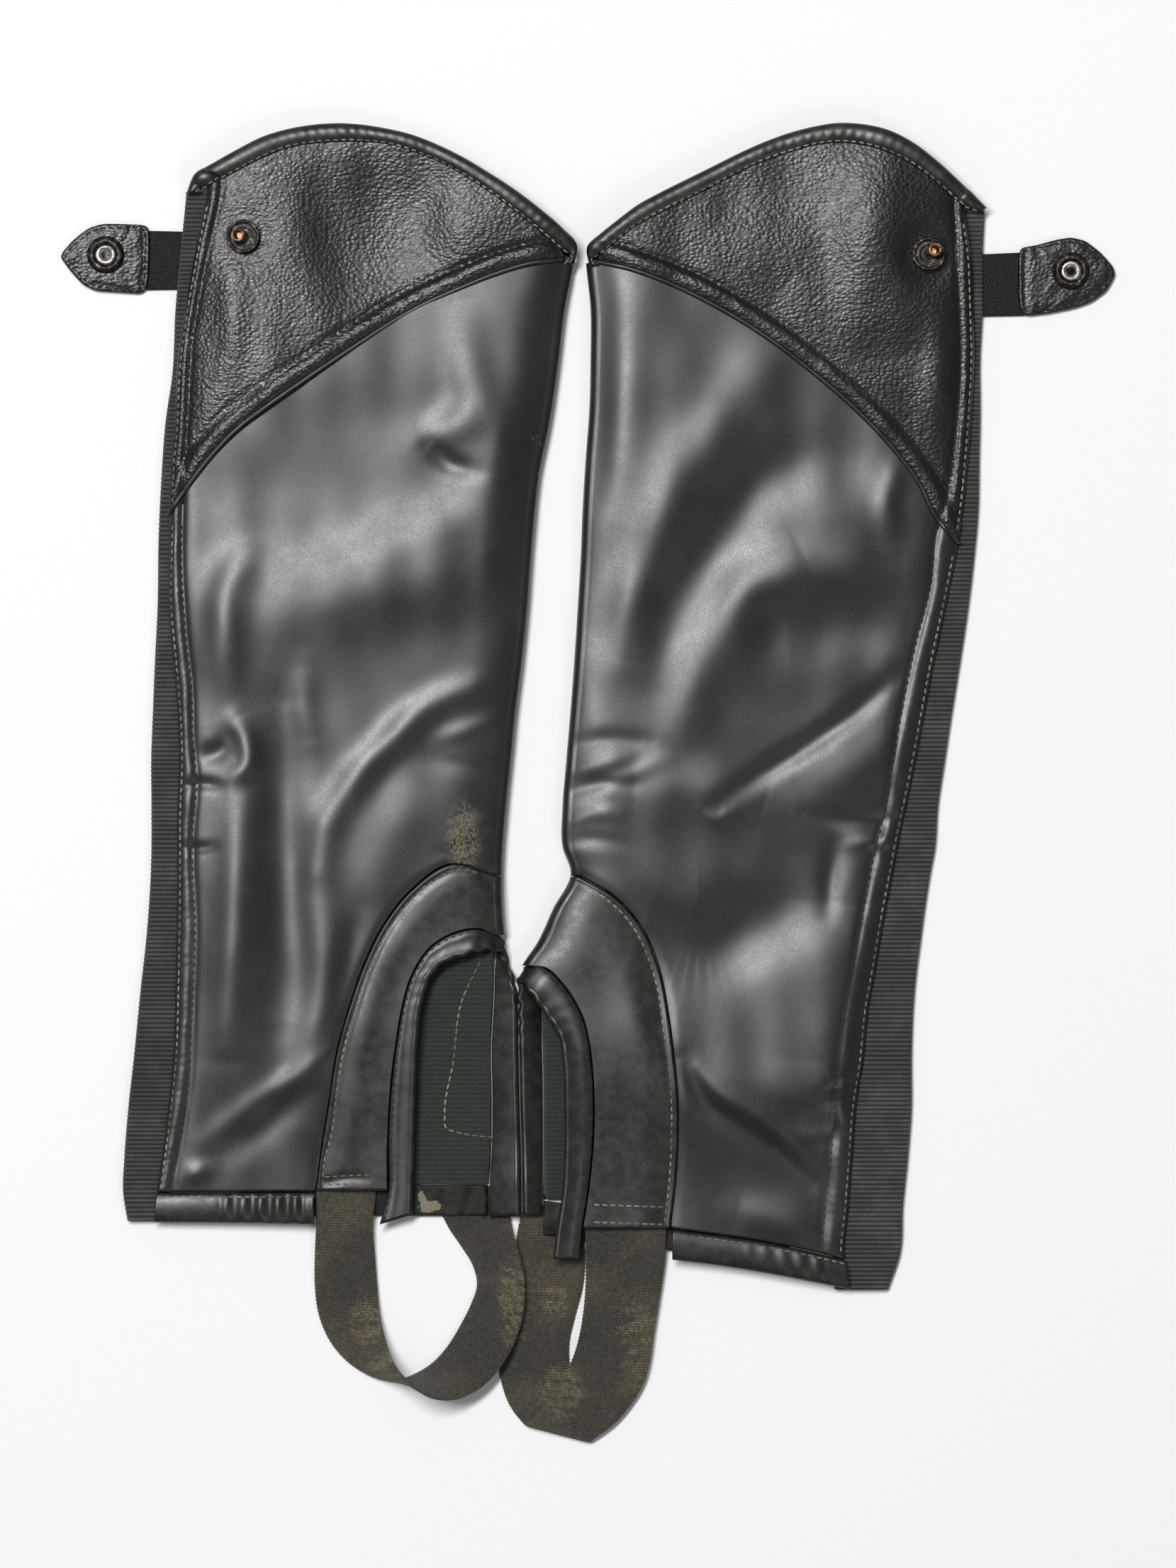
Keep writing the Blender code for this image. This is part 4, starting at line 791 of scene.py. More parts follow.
def round_cord(points, radius, sides):
    """The sections of a round cord along 3-D points."""
    points = np.asarray(points, float)
    way = np.gradient(points, axis=0)
    way /= np.linalg.norm(way, axis=1, keepdims=True)
    side = np.cross(way, (0, 0, 1.0))
    side /= np.linalg.norm(side, axis=1, keepdims=True)
    up = np.cross(side, way)
    turns = np.linspace(0, 2 * math.pi, sides, endpoint=False)
    ring = side[:, None] * np.cos(turns)[None, :, None] + up[:, None] * np.sin(turns)[None, :, None]
    return points[:, None] + ring * radius


def turned_piece(name, centre, profile, finish, lean=(0, 0)):
    """A ring or a disc turned round an upright axis from a closed profile of radius and height."""
    angles = np.linspace(0, 2 * math.pi, TURNED_STEPS, endpoint=False)
    profile = np.array(profile, float)
    x = centre[0] + profile[None, :, 0] * np.cos(angles)[:, None]
    y = centre[1] + profile[None, :, 0] * np.sin(angles)[:, None]
    z = np.broadcast_to(profile[:, 1], x.shape)
    x, y = x + lean[0] * (z - z.min()), y + lean[1] * (z - z.min())
    return tube(name, np.stack([x, y, z], axis=2), finish, closed=True)


def soft_profile(points, count):
    """A closed profile with rounded corners."""
    points = np.array(points, float)
    loop = np.vstack([points[-2:], points, points[:3]])
    run = lengths(loop)
    return hermite(np.linspace(run[2], run[-3], count, endpoint=False), run, loop)


def sew(name, paths, finish, seed):
    """Rows of stitches along paths: each is a short thread of six sides that dips in at its ends."""
    draw = np.random.default_rng(seed)
    stations = np.array([-0.5, -0.36, -0.12, 0.12, 0.36, 0.5])
    thick = np.array([0.35, 0.9, 1.0, 1.0, 0.9, 0.35]) * THREAD
    dip = -1.3 * THREAD * (2 * np.abs(stations)) ** 3
    turns = np.linspace(0, 2 * math.pi, 6, endpoint=False)
    points, faces, count = [], [], len(stations) * len(turns)
    for path in paths:
        path = np.asarray(path, float)
        run = lengths(path)
        places = np.arange(STITCH_PITCH / 2, run[-1], STITCH_PITCH)
        centres, ahead, behind = (
            np.stack([np.interp(places + shift, run, path[:, k]) for k in range(3)], axis=1)
            for shift in (0, 1, -1)
        )
        for centre, way in zip(centres, ahead - behind):
            way = way / np.linalg.norm(way)
            side = np.cross(way, (0, 0, 1.0))
            way = way + side * draw.normal(0, 0.06)
            up = np.cross(side, way)
            size = draw.uniform(0.9, 1.08)
            first = len(points) * count
            ring = side * np.cos(turns)[:, None] + up * np.sin(turns)[:, None]
            spine = centre + way * (stations * STITCH * size)[:, None] + up * dip[:, None]
            points.append((spine[:, None] + ring[None] * thick[:, None, None]).reshape(-1, 3))
            for s in range(len(stations) - 1):
                for k in range(6):
                    a, b = first + s * 6 + k, first + s * 6 + (k + 1) % 6
                    faces.append([a, b, b + 6, a + 6])
            faces.append([first + k for k in (0, 5, 4, 3)])
            faces.append([first + k for k in (0, 3, 2, 1)])
            end = first + count - 6
            faces.append([end + k for k in (0, 1, 2, 3)])
            faces.append([end + k for k in (0, 3, 4, 5)])
    return add_piece(name, np.concatenate(points), faces, finish)


# ---- pieces of one chap --------------------------------------------------------------------------

AROUND = np.radians(np.linspace(90, -90, 13))  # the turn round the shin fold, from its top to its bottom
HEM_SHARE = 0.25  # of the leg's lower edge, the part that ends on the hem
LEG_SETBACK = 0.5  # from the piping's line down to the leg's leather
TOP_UNDERLAP = 1.5  # how far the top panel runs in under its binding
TOP_SPAN = (1, 16.3)  # where its ends lie under the binding, counted in points of the lip
PIPING_UNDERLAP = 0.6  # how far the top panel runs in under the piping
PIPING_LIFT = 0.3  # how much higher than the leather the middle of the piping lies
# Where the top binding's edge and its lip end past the fold: how far back from the top edge's last
# point, and how much higher
TOP_ENDS = ((0.9, -8.5), (5.2, -8.0))
TOP_LENGTH = 200  # of the binding, for its gathers
FLAT_EDGE = 0.8  # how much thinner the binding's hidden stretch is along both of its edges
UNDERLAP = 3.0  # how far the tab's band runs in under the leather tab and the elastic
KNIT_RIB = 1.9  # pitch of the lining's ribs
LINING_WIDTH = 54
RIB = 1.8  # pitch of the elastic's cross ribs
RIB_HEIGHT = 0.14
RIB_DRIFT, DRIFT_LENGTH = 1.5, 11  # how unevenly the ribs lie, and over what length
ZIP_TAPE, ZIP_TAPE_LIFT = 0.8, 0.5  # its thickness, and how high it lies
TOOTH_PITCH = 1.35
HEM_PUCKERS = {"left": (-150, -112, 0.45), "right": (60, 98, 0.1)}  # x at both ends, and strength
STRAP_RIB = 1.1  # pitch of the ribs in the strap and in the tab's band
POST_LEAN = {"left": (-0.4, 0.05), "right": (0.5, 0.3)}  # how far each worn post leans, for its height
STUD_LIFT = 0.7  # how far the studs stand clear of the leather
TAB_SEWN = 1.9  # from the tab's edge to its row of stitches
TAB_ROWS = (3.2, 8.0)  # from its straight end to the two lines pressed across it


def stand_for(made, node):
    """Hides the part of the model that a piece is made for."""
    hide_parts(node)


def declare(made, node):
    """Hides the part of the model that a soft piece stands for."""
    stand_for(made, node)


def round_fold(chap, heights, relief):
    """Outer and inner face round the shin fold, with the creases of the visible side run out over it."""
    centre = fold_centre(chap, heights)[:, None]
    swell = relief[:, None] * np.maximum(np.sin(AROUND), 0)[None] ** 1.5
    faces = []
    for radius in (FOLD_RADIUS, FOLD_RADIUS - WALL):
        x = centre - chap.rearward * (radius + swell) * np.cos(AROUND)[None]
        z = FOLD_RADIUS + (radius + swell) * np.sin(AROUND)[None]
        faces.append(np.dstack([x, heights[:, None] + 0 * x, z]))
    return faces


def visible_skin(chap, plan, top, edges):
    """Upper and lower face over plan points, with the named edges rounded."""
    x, y = plan[..., 0], plan[..., 1]
    height = top(chap, x, y)
    drop = np.zeros(x.shape)
    for names, axis in (("rear front", 1), ("upper lower", 0)):
        distance = to_edge(plan, axis)
        half = np.arange(x.shape[axis]) < x.shape[axis] / 2
        half = half[None, :] if axis == 1 else half[:, None]
        first, second = names.split()
        if first not in edges:
            distance = np.where(half, EDGE_ROUND, distance)
        if second not in edges:
            distance = np.where(half, distance, EDGE_ROUND)
        drop = np.maximum(drop, edge_drop(distance))
    return np.dstack([plan, height - drop]), np.dstack([plan, height - WALL])


def flat_skin(plan, thickness=WALL, lowest=0.0):
    """Lower and upper face of a piece of the hidden side."""
    low = np.full(plan.shape[:-1], lowest)
    return np.dstack([plan, low]), np.dstack([plan, low + thickness])


def rear_edge(upper, lower, v, x_at):
    """The edge from the first point of one line to that of another, with its x found at each height."""
    y = upper[0, 1] + v * (lower[0, 1] - upper[0, 1])
    return np.stack([x_at(y), y], axis=1)


def leg_leather(chap, finish):
    """The leg panel: its visible side, the shin fold and its hidden side."""
    u = np.concatenate([HEM_SHARE * spread(65, 1.6)[:-1], HEM_SHARE + (1 - HEM_SHARE) * spread(130, 1.5)])
    v = spread(330, 1.5)
    upper = along(seam_line(chap, LEG_SETBACK), u)
    hem_part = u < HEM_SHARE
    hem = along(np.array(chap.hem_top) + (0, GAP), u[hem_part] / HEM_SHARE)
    guard = along(guard_line(chap, GAP), (u[~hem_part] - HEM_SHARE) / (1 - HEM_SHARE))
    lower = np.vstack([hem, guard])
    for line in (upper, lower):
        line[-1, 0] = fold_centre(chap, line[-1:, 1])[0]
    rear = rear_edge(upper, lower, v, lambda y: across(chap, y, "seam"))
    rear[0], rear[-1] = upper[0], lower[0]
    heights = upper[-1, 1] + v * (lower[-1, 1] - upper[-1, 1])
    front = np.stack([fold_centre(chap, heights), heights], axis=1)
    plan = coons(upper, lower, rear, front, u, v)
    outer, inner = visible_skin(chap, plan, leg_top, edges="rear lower")
    relief = outer[:, -1, 2] - 2 * FOLD_RADIUS
    around, inside = round_fold(chap, heights, relief)

    upper, lower = front_part(chap, upper), front_part(chap, lower)
    u = np.linspace(0, 1, 20)
    upper, lower = along(upper, u), along(lower, u)
    rear = rear_edge(upper, lower, v, lambda y: zip_front(chap, y))
    under, over = flat_skin(coons(upper, lower, rear, front, u, v)[:, ::-1])
    outer = np.concatenate([outer, around[:, 1:-1], under], axis=1)
    inner = np.concatenate([inner, inside[:, 1:-1], over], axis=1)
    made = wall(f"{chap.name}_leg_leather", outer, inner, finish)
    declare(made, f"{chap.name}_leg_panel")


def top_leather(chap, finish):
    """The pebbled top panel, and its twin on the hidden side."""
    u, v = spread(150, 1.2), spread(60, 1.2)
    first, last = (point * (1 / (LIP_COLUMNS - 1)) for point in TOP_SPAN)
    upper = along(lip_line(chap, -TOP_UNDERLAP), first + u * (last - first))
    lower = along(seam_line(chap, -PIPING_HALF_SEAM + PIPING_UNDERLAP), u)
    rear = rear_edge(upper, lower, v, lambda y: across(chap, y, "seam"))
    rear[0], rear[-1] = upper[0], lower[0]
    front = upper[-1] + v[:, None] * (lower[-1] - upper[-1])
    faces = visible_skin(chap, coons(upper, lower, rear, front, u, v), top_top, edges="rear")
    made = wall(f"{chap.name}_top_leather", *faces, finish)
    declare(made, f"{chap.name}_top_panel")

    upper = front_part(chap, lip_line(chap, GAP)[:-2])
    lower = front_part(chap, seam_line(chap, PIPING_HALF_SEAM - GAP))
    u, v = np.linspace(0, 1, 24), np.linspace(0, 1, 14)
    upper, lower = along(upper, u), along(lower, u)
    rear = rear_edge(upper, lower, v, lambda y: zip_front(chap, y))
    front = upper[-1] + v[:, None] * (lower[-1] - upper[-1])
    made = wall(f"{chap.name}_top_twin", *flat_skin(coons(upper, lower, rear, front, u, v)), finish)
    declare(made, f"{chap.name}_top_panel_under")


def piping_cord(chap, finish):
    """The cord between the top panel and the leg panel."""
    line = along(seam_line(chap, 0), np.linspace(0, 1, 150))
    z = top_top(chap, line[:, 0], line[:, 1]) + PIPING_LIFT
    sections = round_cord(np.column_stack([line, z]), PIPING_RADIUS, sides=10)
    stand_for(tube(f"{chap.name}_piping_cord", sections, finish), f"{chap.name}_piping")


def binding_frame(edge, lip):
    """The direction from a binding's edge to its lip, the width between them, and its way up."""
    outward = lip - edge
    width = np.linalg.norm(outward, axis=1, keepdims=True)
    outward = outward / width
    up = np.cross(np.gradient((edge + lip) / 2, axis=0), outward)
    up /= np.linalg.norm(up, axis=1, keepdims=True)
    return outward, width, up * np.sign(up[:, 2:].sum())


def plump(edge, lip, radius, swell):
    """Sections of a soft binding that is rounded all the way from its edge to its lip."""
    outward, width, up = binding_frame(edge, lip)
    turns = np.radians(np.arange(0, 360, 15))[None, :, None]
    out = width[:, None] / 2 * (1 + np.cos(turns))
    rise = radius * swell[:, None, None] * np.sin(turns)
    return edge[:, None] + outward[:, None] * out + up[:, None] * rise


def rolled(edge, lip, swell):
    """Sections of the arch's binding: a roll with a flat lip. Swell thickens the roll at each place."""
    outward, width, up = binding_frame(edge, lip)
    turns = np.radians(np.linspace(52, 308, 17))
    reach = [ARCH_RADIUS * (1 + math.cos(t)) for t in turns]
    high = [ARCH_RADIUS * math.sin(t) for t in turns]
    lip_high = [ARCH_LIP * share for share in (-1, -0.6, 0.5, 1, 0.8)]
    sections = []
    for k in range(len(edge)):
        flap = width[k, 0]
        lip_reach = [flap - 0.5, flap, flap, flap - 0.5, 0.5 * (flap + 2 * ARCH_RADIUS)]
        out = np.array(reach + lip_reach)
        rise = np.array(high + lip_high) * np.array([swell[k]] * len(reach) + [1.0] * len(lip_high))
        sections.append(edge[k] + outward[k] * out[:, None] + up[k] * rise[:, None])
    return np.array(sections)


def sewn_path(edge, lip, share, rise):
    """A path along a binding, for its stitches."""
    outward, width, up = binding_frame(edge, lip)
    return edge + outward * width * share + up * rise


def puckers(places, pitch, strength, seed):
    """Uneven gathers along a binding."""
    draw = np.random.default_rng(seed)
    drift = np.cumsum(draw.normal(0, 0.05, len(places)))
    deeper = 0.6 + 0.4 * np.sin(places / 17 + seed)
    return 1 + strength * np.sin(2 * math.pi * places / pitch + drift) * deeper


def top_roll(chap, finish):
    """The rolled top binding and its flattened stretch on the hidden side. Gives its row of stitches."""
    t = np.linspace(0, 1, 190)
    corner_x, corner_y = chap.top_edge[-1]
    edge_end, lip_end = ((corner_x + chap.rearward * back, corner_y + higher) for back, higher in TOP_ENDS)
    edge, lip = along([*chap.top_edge, edge_end], t), along([*chap.top_lip, lip_end], t)
    z = leather_top(chap, lip[:, 0], lip[:, 1], DETAILS[chap.name].top_wrinkles) - TOP_DROP
    edge, lip = np.column_stack([edge, z]), np.column_stack([lip, z])
    places = t * TOP_LENGTH
    swell = puckers(places, pitch=4.4, strength=0.05, seed=3)
    swell = swell + puckers(places, pitch=17, strength=0.04, seed=8) - 1
    made = tube(f"{chap.name}_top_roll", plump(edge, lip, TOP_RADIUS, swell), finish)
    declare(made, f"{chap.name}_top_binding")

    under = front_part(chap, lip_line(chap))
    edge_under = evenly(chap.top_edge, LIP_COLUMNS)[-len(under) :]
    t = np.linspace(0, 1, 60)
    plan = np.stack([by_row(edge_under, t), by_row(under, t)])
    middle = (plan[:1] + plan[1:]) / 2
    outer, inner = flat_skin(np.concatenate([plan[:1], middle, plan[1:]]), FLAT_TAPE)
    inner[[0, 2], :, 2] -= FLAT_EDGE
    made = wall(f"{chap.name}_top_roll_flat", outer, inner, finish)
    declare(made, f"{chap.name}_top_binding_under")
    return sewn_path(edge, lip, 0.88, 0.66 * TOP_RADIUS)


def gusset(chap, finish):
    """The ribbed elastic folded over the outer edge."""
    high, low = chap.sections[0].y + 1.6, chap.sections[-1].y
    y = np.linspace(high, low, int((high - low) / 0.4))
    edge, seam = across(chap, y, "edge"), across(chap, y, "seam")
    top, radius = ELASTIC_TOP, ELASTIC_TOP / 2
    turns = np.radians(np.linspace(90, 270, 9))
    phase = 2 * math.pi * y / RIB + RIB_DRIFT * np.sin(y / DRIFT_LENGTH)
    rib = np.cos(phase) * (0.75 + 0.25 * np.sin(y / 3.1))
    sag = 0.25 * undulation(edge, y, size=14, seed=21)
    sections, weave = [], []
    for k, height in enumerate(y):
        shown = abs(seam[k] - edge[k]) + ELASTIC_UNDER_PANEL
        flat = np.linspace(shown, radius, 9)
        out = RIB_HEIGHT * rib[k]
        bend = radius + out
        profile = [(w, top - 0.15 + out + sag[k] * math.sin(math.pi * min(1, w / shown))) for w in flat]
        profile += [(radius + bend * math.cos(t), radius + bend * math.sin(t)) for t in turns[1:-1]]
        profile += [(w, max(0, -out)) for w in (radius, 6, 10, ELASTIC_HIDDEN)]
        profile += [(ELASTIC_HIDDEN, ELASTIC), (radius, ELASTIC), (ELASTIC, radius), (radius, top - ELASTIC)]
        profile += [(shown, top - ELASTIC)]
        profile = np.array(profile)
        level = np.full(len(profile), height)
        x, z = edge[k] - chap.rearward * profile[:, 0], np.maximum(profile[:, 1], 0)
        sections.append(np.column_stack([x, level, z]))
        weave.append(np.column_stack([lengths(profile), level]))
    made = tube(f"{chap.name}_gusset", np.array(sections), finish, np.array(weave))
    declare(made, f"{chap.name}_elastic")


def closed_zip(chap, tape, metal):
    """The zip on the hidden side, with its teeth closed and its slider at the top."""
    y = side_heights(chap)[1:-1]
    rear = across(chap, y, "edge") - chap.rearward * (ELASTIC_HIDDEN + GAP)
    share = np.array([0, 0.03, 0.36, 0.42, 0.5, 0.58, 0.64, 0.97, 1.0])
    tape_x = rear[:, None] - chap.rearward * ZIP_WIDTH * share[None]
    plan = np.dstack([tape_x, np.broadcast_to(y[:, None], tape_x.shape)])
    made = wall(f"{chap.name}_zip_tape", *flat_skin(plan, ZIP_TAPE, ZIP_TAPE_LIFT), tape)
    declare(made, f"{chap.name}_zip_strip")
    places = np.arange(y[-1] + 4, y[0] - 1, TOOTH_PITCH)
    middle = np.interp(places, y[::-1], rear[::-1]) - chap.rearward * ZIP_WIDTH / 2
    block = np.array([(-1.9, -0.5), (1.4, -0.5), (1.9, -0.25), (1.9, 0.25), (1.4, 0.5), (-1.9, 0.5)])
    points, faces = [], []
    for k, (x, height) in enumerate(zip(middle, places)):
        side = 1 if k % 2 else -1
        first = len(points)
        for z in (0.02, 0.55):
            points += [(x + side * (bx - 0.6), height + by, z) for bx, by in block]
        faces += [[first + i for i in (0, 1, 2, 3)], [first + i for i in (0, 3, 4, 5)]]
        faces += [[first + 6 + i for i in (3, 2, 1, 0)], [first + 6 + i for i in (5, 4, 3, 0)]]
        faces += [[first + (i + 1) % 6, first + i, first + 6 + i, first + 6 + (i + 1) % 6] for i in range(6)]
    teeth = add_piece(f"{chap.name}_zip_teeth", points, faces, metal)


def arch_rows(chap):
    """The edge and the lip of the arch's binding, as 3-D paths."""
    rows = between(chap.arch, 9)
    layer, raised = rows[:, 4:5], rows[:, 5:6]
    high = crown(chap, rows[:, 2], rows[:, 3])[:, None] + GUARD_LIFT * 0.5 - ARCH_DROP
    lines = []
    for first, low in ((0, ARCH_REST + GAP), (2, ARCH_LIP + GAP)):
        lines.append(np.hstack([rows[:, first : first + 2], layer * high + (1 - layer) * (low + raised)]))
    return lines


def arch_roll(chap, finish):
    """The rolled edge of the foot opening, gathered round its top. Gives its row of stitches."""
    edge, lip = arch_rows(chap)
    places = lengths(edge)
    gathered = np.exp(-(((edge[:, 1] - edge[:, 1].max()) / 20) ** 2))
    swell = 1 + (puckers(places, pitch=5.5, strength=0.30, seed=4) - 1) * gathered
    swell = swell + (puckers(places, pitch=13, strength=0.04, seed=9) - 1)
    shift = (1 - puckers(places, pitch=6.5, strength=0.7, seed=6)) * gathered
    edge = edge + binding_frame(edge, lip)[0] * shift[:, None]
    made = tube(f"{chap.name}_arch_roll", rolled(edge, lip, swell), finish)
    declare(made, f"{chap.name}_arch_binding")
    return sewn_path(edge, lip, 0.88, 0.85 * ARCH_LIP)


def guard_leather(chap, finish):
    """The arched band round the foot opening, over the shin fold to the hidden side."""
    s = spread(28, 1.3)[None, :, None]
    t = spread(165, 1.4)
    lip = np.array([(row.lip_x, row.lip_y) for row in visible_binds(chap)], float)
    lip = beside(lip, -chap.rearward * 0.5)
    corner_y = next(row.lip_y for row in chap.arch if row.layer < 1) - 0.8
    corner = fold_centre(chap, np.array([corner_y]))[0], corner_y
    lip = np.vstack([lip, corner])
    edge = guard_line(chap)
    edge[-1, 0] = fold_centre(chap, edge[-1:, 1])[0]
    plan = by_row(lip, t)[:, None] * (1 - s) + along(edge, t)[:, None] * s
    outer, inner = visible_skin(chap, plan, guard_top, edges="front upper")
    heights = lip[-1, 1] + s[0, :, 0] * (edge[-1, 1] - lip[-1, 1])
    relief = outer[-1, :, 2] - 2 * FOLD_RADIUS
    around, inside = (face.transpose(1, 0, 2) for face in round_fold(chap, heights, relief))

    end = chap.hidden_hem[2][1] + 0.8
    lip = [(row.lip_x + chap.rearward * 0.6, row.lip_y) for row in chap.arch if row.layer == 0]
    lip = np.array([corner] + [place for place in lip if place[1] > end] + [(lip[-1][0], end)], float)
    foot_x = np.interp(end, edge[:, 1], edge[:, 0])
    edge = np.vstack([edge[::-1][edge[::-1, 1] > end], [(foot_x, end)]])
    t = np.linspace(0, 1, 60)
    under, over = flat_skin(along(lip, t)[:, None] * (1 - s) + along(edge, t)[:, None] * s)
    outer = np.concatenate([outer, around[1:-1], under])
    inner = np.concatenate([inner, inside[1:-1], over])
    made = wall(f"{chap.name}_guard_leather", outer, inner, finish)
    declare(made, f"{chap.name}_guard")


def hem_roll(chap, finish):
    """The rolled lower edge, gathered in ribs along part of it. Gives its row of stitches."""
    t = np.linspace(0, 1, 120)
    edge, lip = along(chap.hem_bottom, t), along(chap.hem_top, t)
    z = crown(chap, lip[:, 0], lip[:, 1])
    edge, lip = np.column_stack([edge, z]), np.column_stack([lip, z])
    start, end, strength = HEM_PUCKERS[chap.name]
    inside = smoothstep((edge[:, 0] - start) / 4) * smoothstep((end - edge[:, 0]) / 4)
    ribs = (puckers(edge[:, 0], pitch=7.0, strength=strength, seed=2) - 1) * inside + 1
    made = tube(f"{chap.name}_hem_roll", plump(edge, lip, HEM_RADIUS, ribs), finish)
    declare(made, f"{chap.name}_hem")
    return sewn_path(edge, lip, 0.87, HEM_SEWN)


def facing(chap, finish):
    """The leather strip inside the hidden side of the foot opening."""
    outline = np.array(chap.hidden_hem, float)
    t, s = np.linspace(0, 1, 60), spread(13, 1.2)[:, None, None]
    upper, lower = along(outline[:3], t), along(outline[:2:-1], t)
    plan = upper[None] * (1 - s) + lower[None] * s
    low, high = HIDDEN_HEM
    uneven = 0.25 * undulation(plan[..., 0], plan[..., 1], size=9, seed=31)
    top = high - 0.3 + uneven - edge_drop(to_edge(plan, 0))
    outer, inner = np.dstack([plan, top]), np.dstack([plan, np.full(top.shape, low)])
    made = wall(f"{chap.name}_facing", outer, inner, finish)
    declare(made, f"{chap.name}_hem_under")


def knit_lining(chap, finish):
    """The lining behind the foot opening, on the hidden side."""
    hidden = [row for row in chap.arch if row.layer == 0 and row.raised < 1]
    front = np.array([(row.lip_x, row.lip_y) for row in hidden], float)
    bottom = chap.hidden_hem[2][1] + 0.4
    top = max(row.edge_y for row in chap.arch) + 5
    front = np.vstack([(front[0, 0], top), front, (front[-1, 0] + chap.rearward * 0.6, bottom)])
    front = front + (chap.rearward * 0.9, 0)
    t, s = np.linspace(0, 1, 260), np.linspace(0, 1, 30)[None, :, None]
    front = along(front, t)
    plan = front[:, None] * (1 - s) + (front + (chap.rearward * LINING_WIDTH, 0))[:, None] * s
    x, y = plan[..., 0], plan[..., 1]
    ribs = 0.2 * np.cos(2 * math.pi * y / KNIT_RIB)
    top = WALL + GAP + KNIT - 0.2 + ribs + 0.15 * undulation(x, y, size=16, seed=42)
    low = np.full(x.shape, WALL + GAP)
    weave = np.dstack([x, y])
    made = wall(f"{chap.name}_knit_lining", np.dstack([plan, top]), np.dstack([plan, low]), finish, weave)
    declare(made, f"{chap.name}_lining")


def strap(chap, finish):
    """The elastic band under the foot, with fine cross ribs and slightly toothed edges."""
    rows = between(chap.strap, 36)
    places = lengths((rows[:, :3] + rows[:, 3:]) / 2)
    rear, front = rows[:, :3], rows[:, 3:]
    way = front - rear
    width = np.linalg.norm(way, axis=1, keepdims=True)
    tooth = 0.12 * np.cos(2 * math.pi * places / 1.5)[:, None] / width
    share = [0, 0.006, 0.02, 0.045, 0.1, 0.2, 0.32, 0.44, 0.56, 0.68, 0.8, 0.9, 0.955, 0.98, 0.994, 1.0]
    share = np.array(share)
    band = rear[:, None] + way[:, None] * share[None, :, None]
    band[:, 0] -= way * tooth
    band[:, -1] += way * tooth
    normal = np.cross(np.gradient(band[:, len(share) // 2], axis=0), way)
    normal /= np.linalg.norm(normal, axis=1, keepdims=True)
    half = WEBBING / 2 * (1 - 0.75 * np.abs(2 * share - 1) ** 24)
    rib = 0.05 * np.cos(2 * math.pi * places / STRAP_RIB)[:, None]
    rib = rib + 0.03 * np.cos(2 * math.pi * share * 11)[None]
    outer = band + normal[:, None] * (half + rib)[..., None]
    inner = band - normal[:, None] * (half + rib)[..., None]
    for face in (outer, inner):
        face[..., 2] = np.maximum(face[..., 2], 0.02)
    weave = np.dstack([np.broadcast_to(places[:, None], rib.shape), share[None] * width])
    made = wall(f"{chap.name}_foot_strap", outer, inner, finish, weave)
    declare(made, f"{chap.name}_stirrup_strap")


def snap_stud(chap, washer_finish, post_finish):
    """The snap's washer and hollow post, on the top panel."""
    x, y = (np.array([place], float) for place in chap.stud)
    relief = float((top_top(chap, x, y) - crown(chap, x, y))[0]) + STUD_LIFT
    low, high = (corner[2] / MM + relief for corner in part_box(f"{chap.name}_stud_washer"))
    r = WASHER[0] / 2
    profile = [
        (0.3, low), (r - 0.5, low), (r, low + 0.4), (r - 0.2, high - 0.2), (r - 0.7, high),
        (r - 1.2, high - 0.25), (4.6, high - 0.5), (4.0, high - 0.35), (3.4, high - 0.6), (0.3, high - 0.7),
    ]
    washer = turned_piece(f"{chap.name}_washer", chap.stud, soft_profile(profile, 44), washer_finish)
    stand_for(washer, f"{chap.name}_stud_washer")
    low, high = (corner[2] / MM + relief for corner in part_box(f"{chap.name}_stud_post"))
    r = POST[0] / 2
    profile = [
        (0.05, low - 0.3), (r - 0.5, low - 0.3), (r - 0.5, low + 1.2), (r - 0.1, high - 1.6), (r, high - 0.9),
        (r - 0.2, high - 0.15), (r - 0.7, high), (r - 1.15, high - 0.4), (r - 1.3, high - 2.0),
        (0.05, high - 2.2),
    ]
    profile = soft_profile(profile, 48)
    post = turned_piece(f"{chap.name}_post", chap.stud, profile, post_finish, lean=POST_LEAN[chap.name])
    stand_for(post, f"{chap.name}_stud_post")


def snap_socket(chap, ring_finish, spring_finish):
    """The snap's ring on the tab, and the spring inside it."""
    outer, hole, height = SOCKET
    low = TAB - 0.2
    high = TAB + GAP + height
    r, h = outer / 2, hole / 2
    profile = [
        (h, low), (r - 0.2, low), (r, low + 0.5), (r - 0.4, low + 1.1), (r - 1.5, high - 0.1),
        (r - 2.4, high), (h + 0.7, high - 0.3), (h, high - 1.0),
    ]
    ring = turned_piece(f"{chap.name}_socket", chap.socket, soft_profile(profile, 48), ring_finish)
    stand_for(ring, f"{chap.name}_socket_ring")
    profile = [
        (1.7, low - 0.2), (h + 0.1, low - 0.2), (h + 0.1, low + 0.5), (h - 0.9, low + 0.9),
        (2.2, low + 0.6), (1.7, low + 0.3),
    ]
    spring = turned_piece(f"{chap.name}_socket_spring", chap.socket, soft_profile(profile, 32), spring_finish)


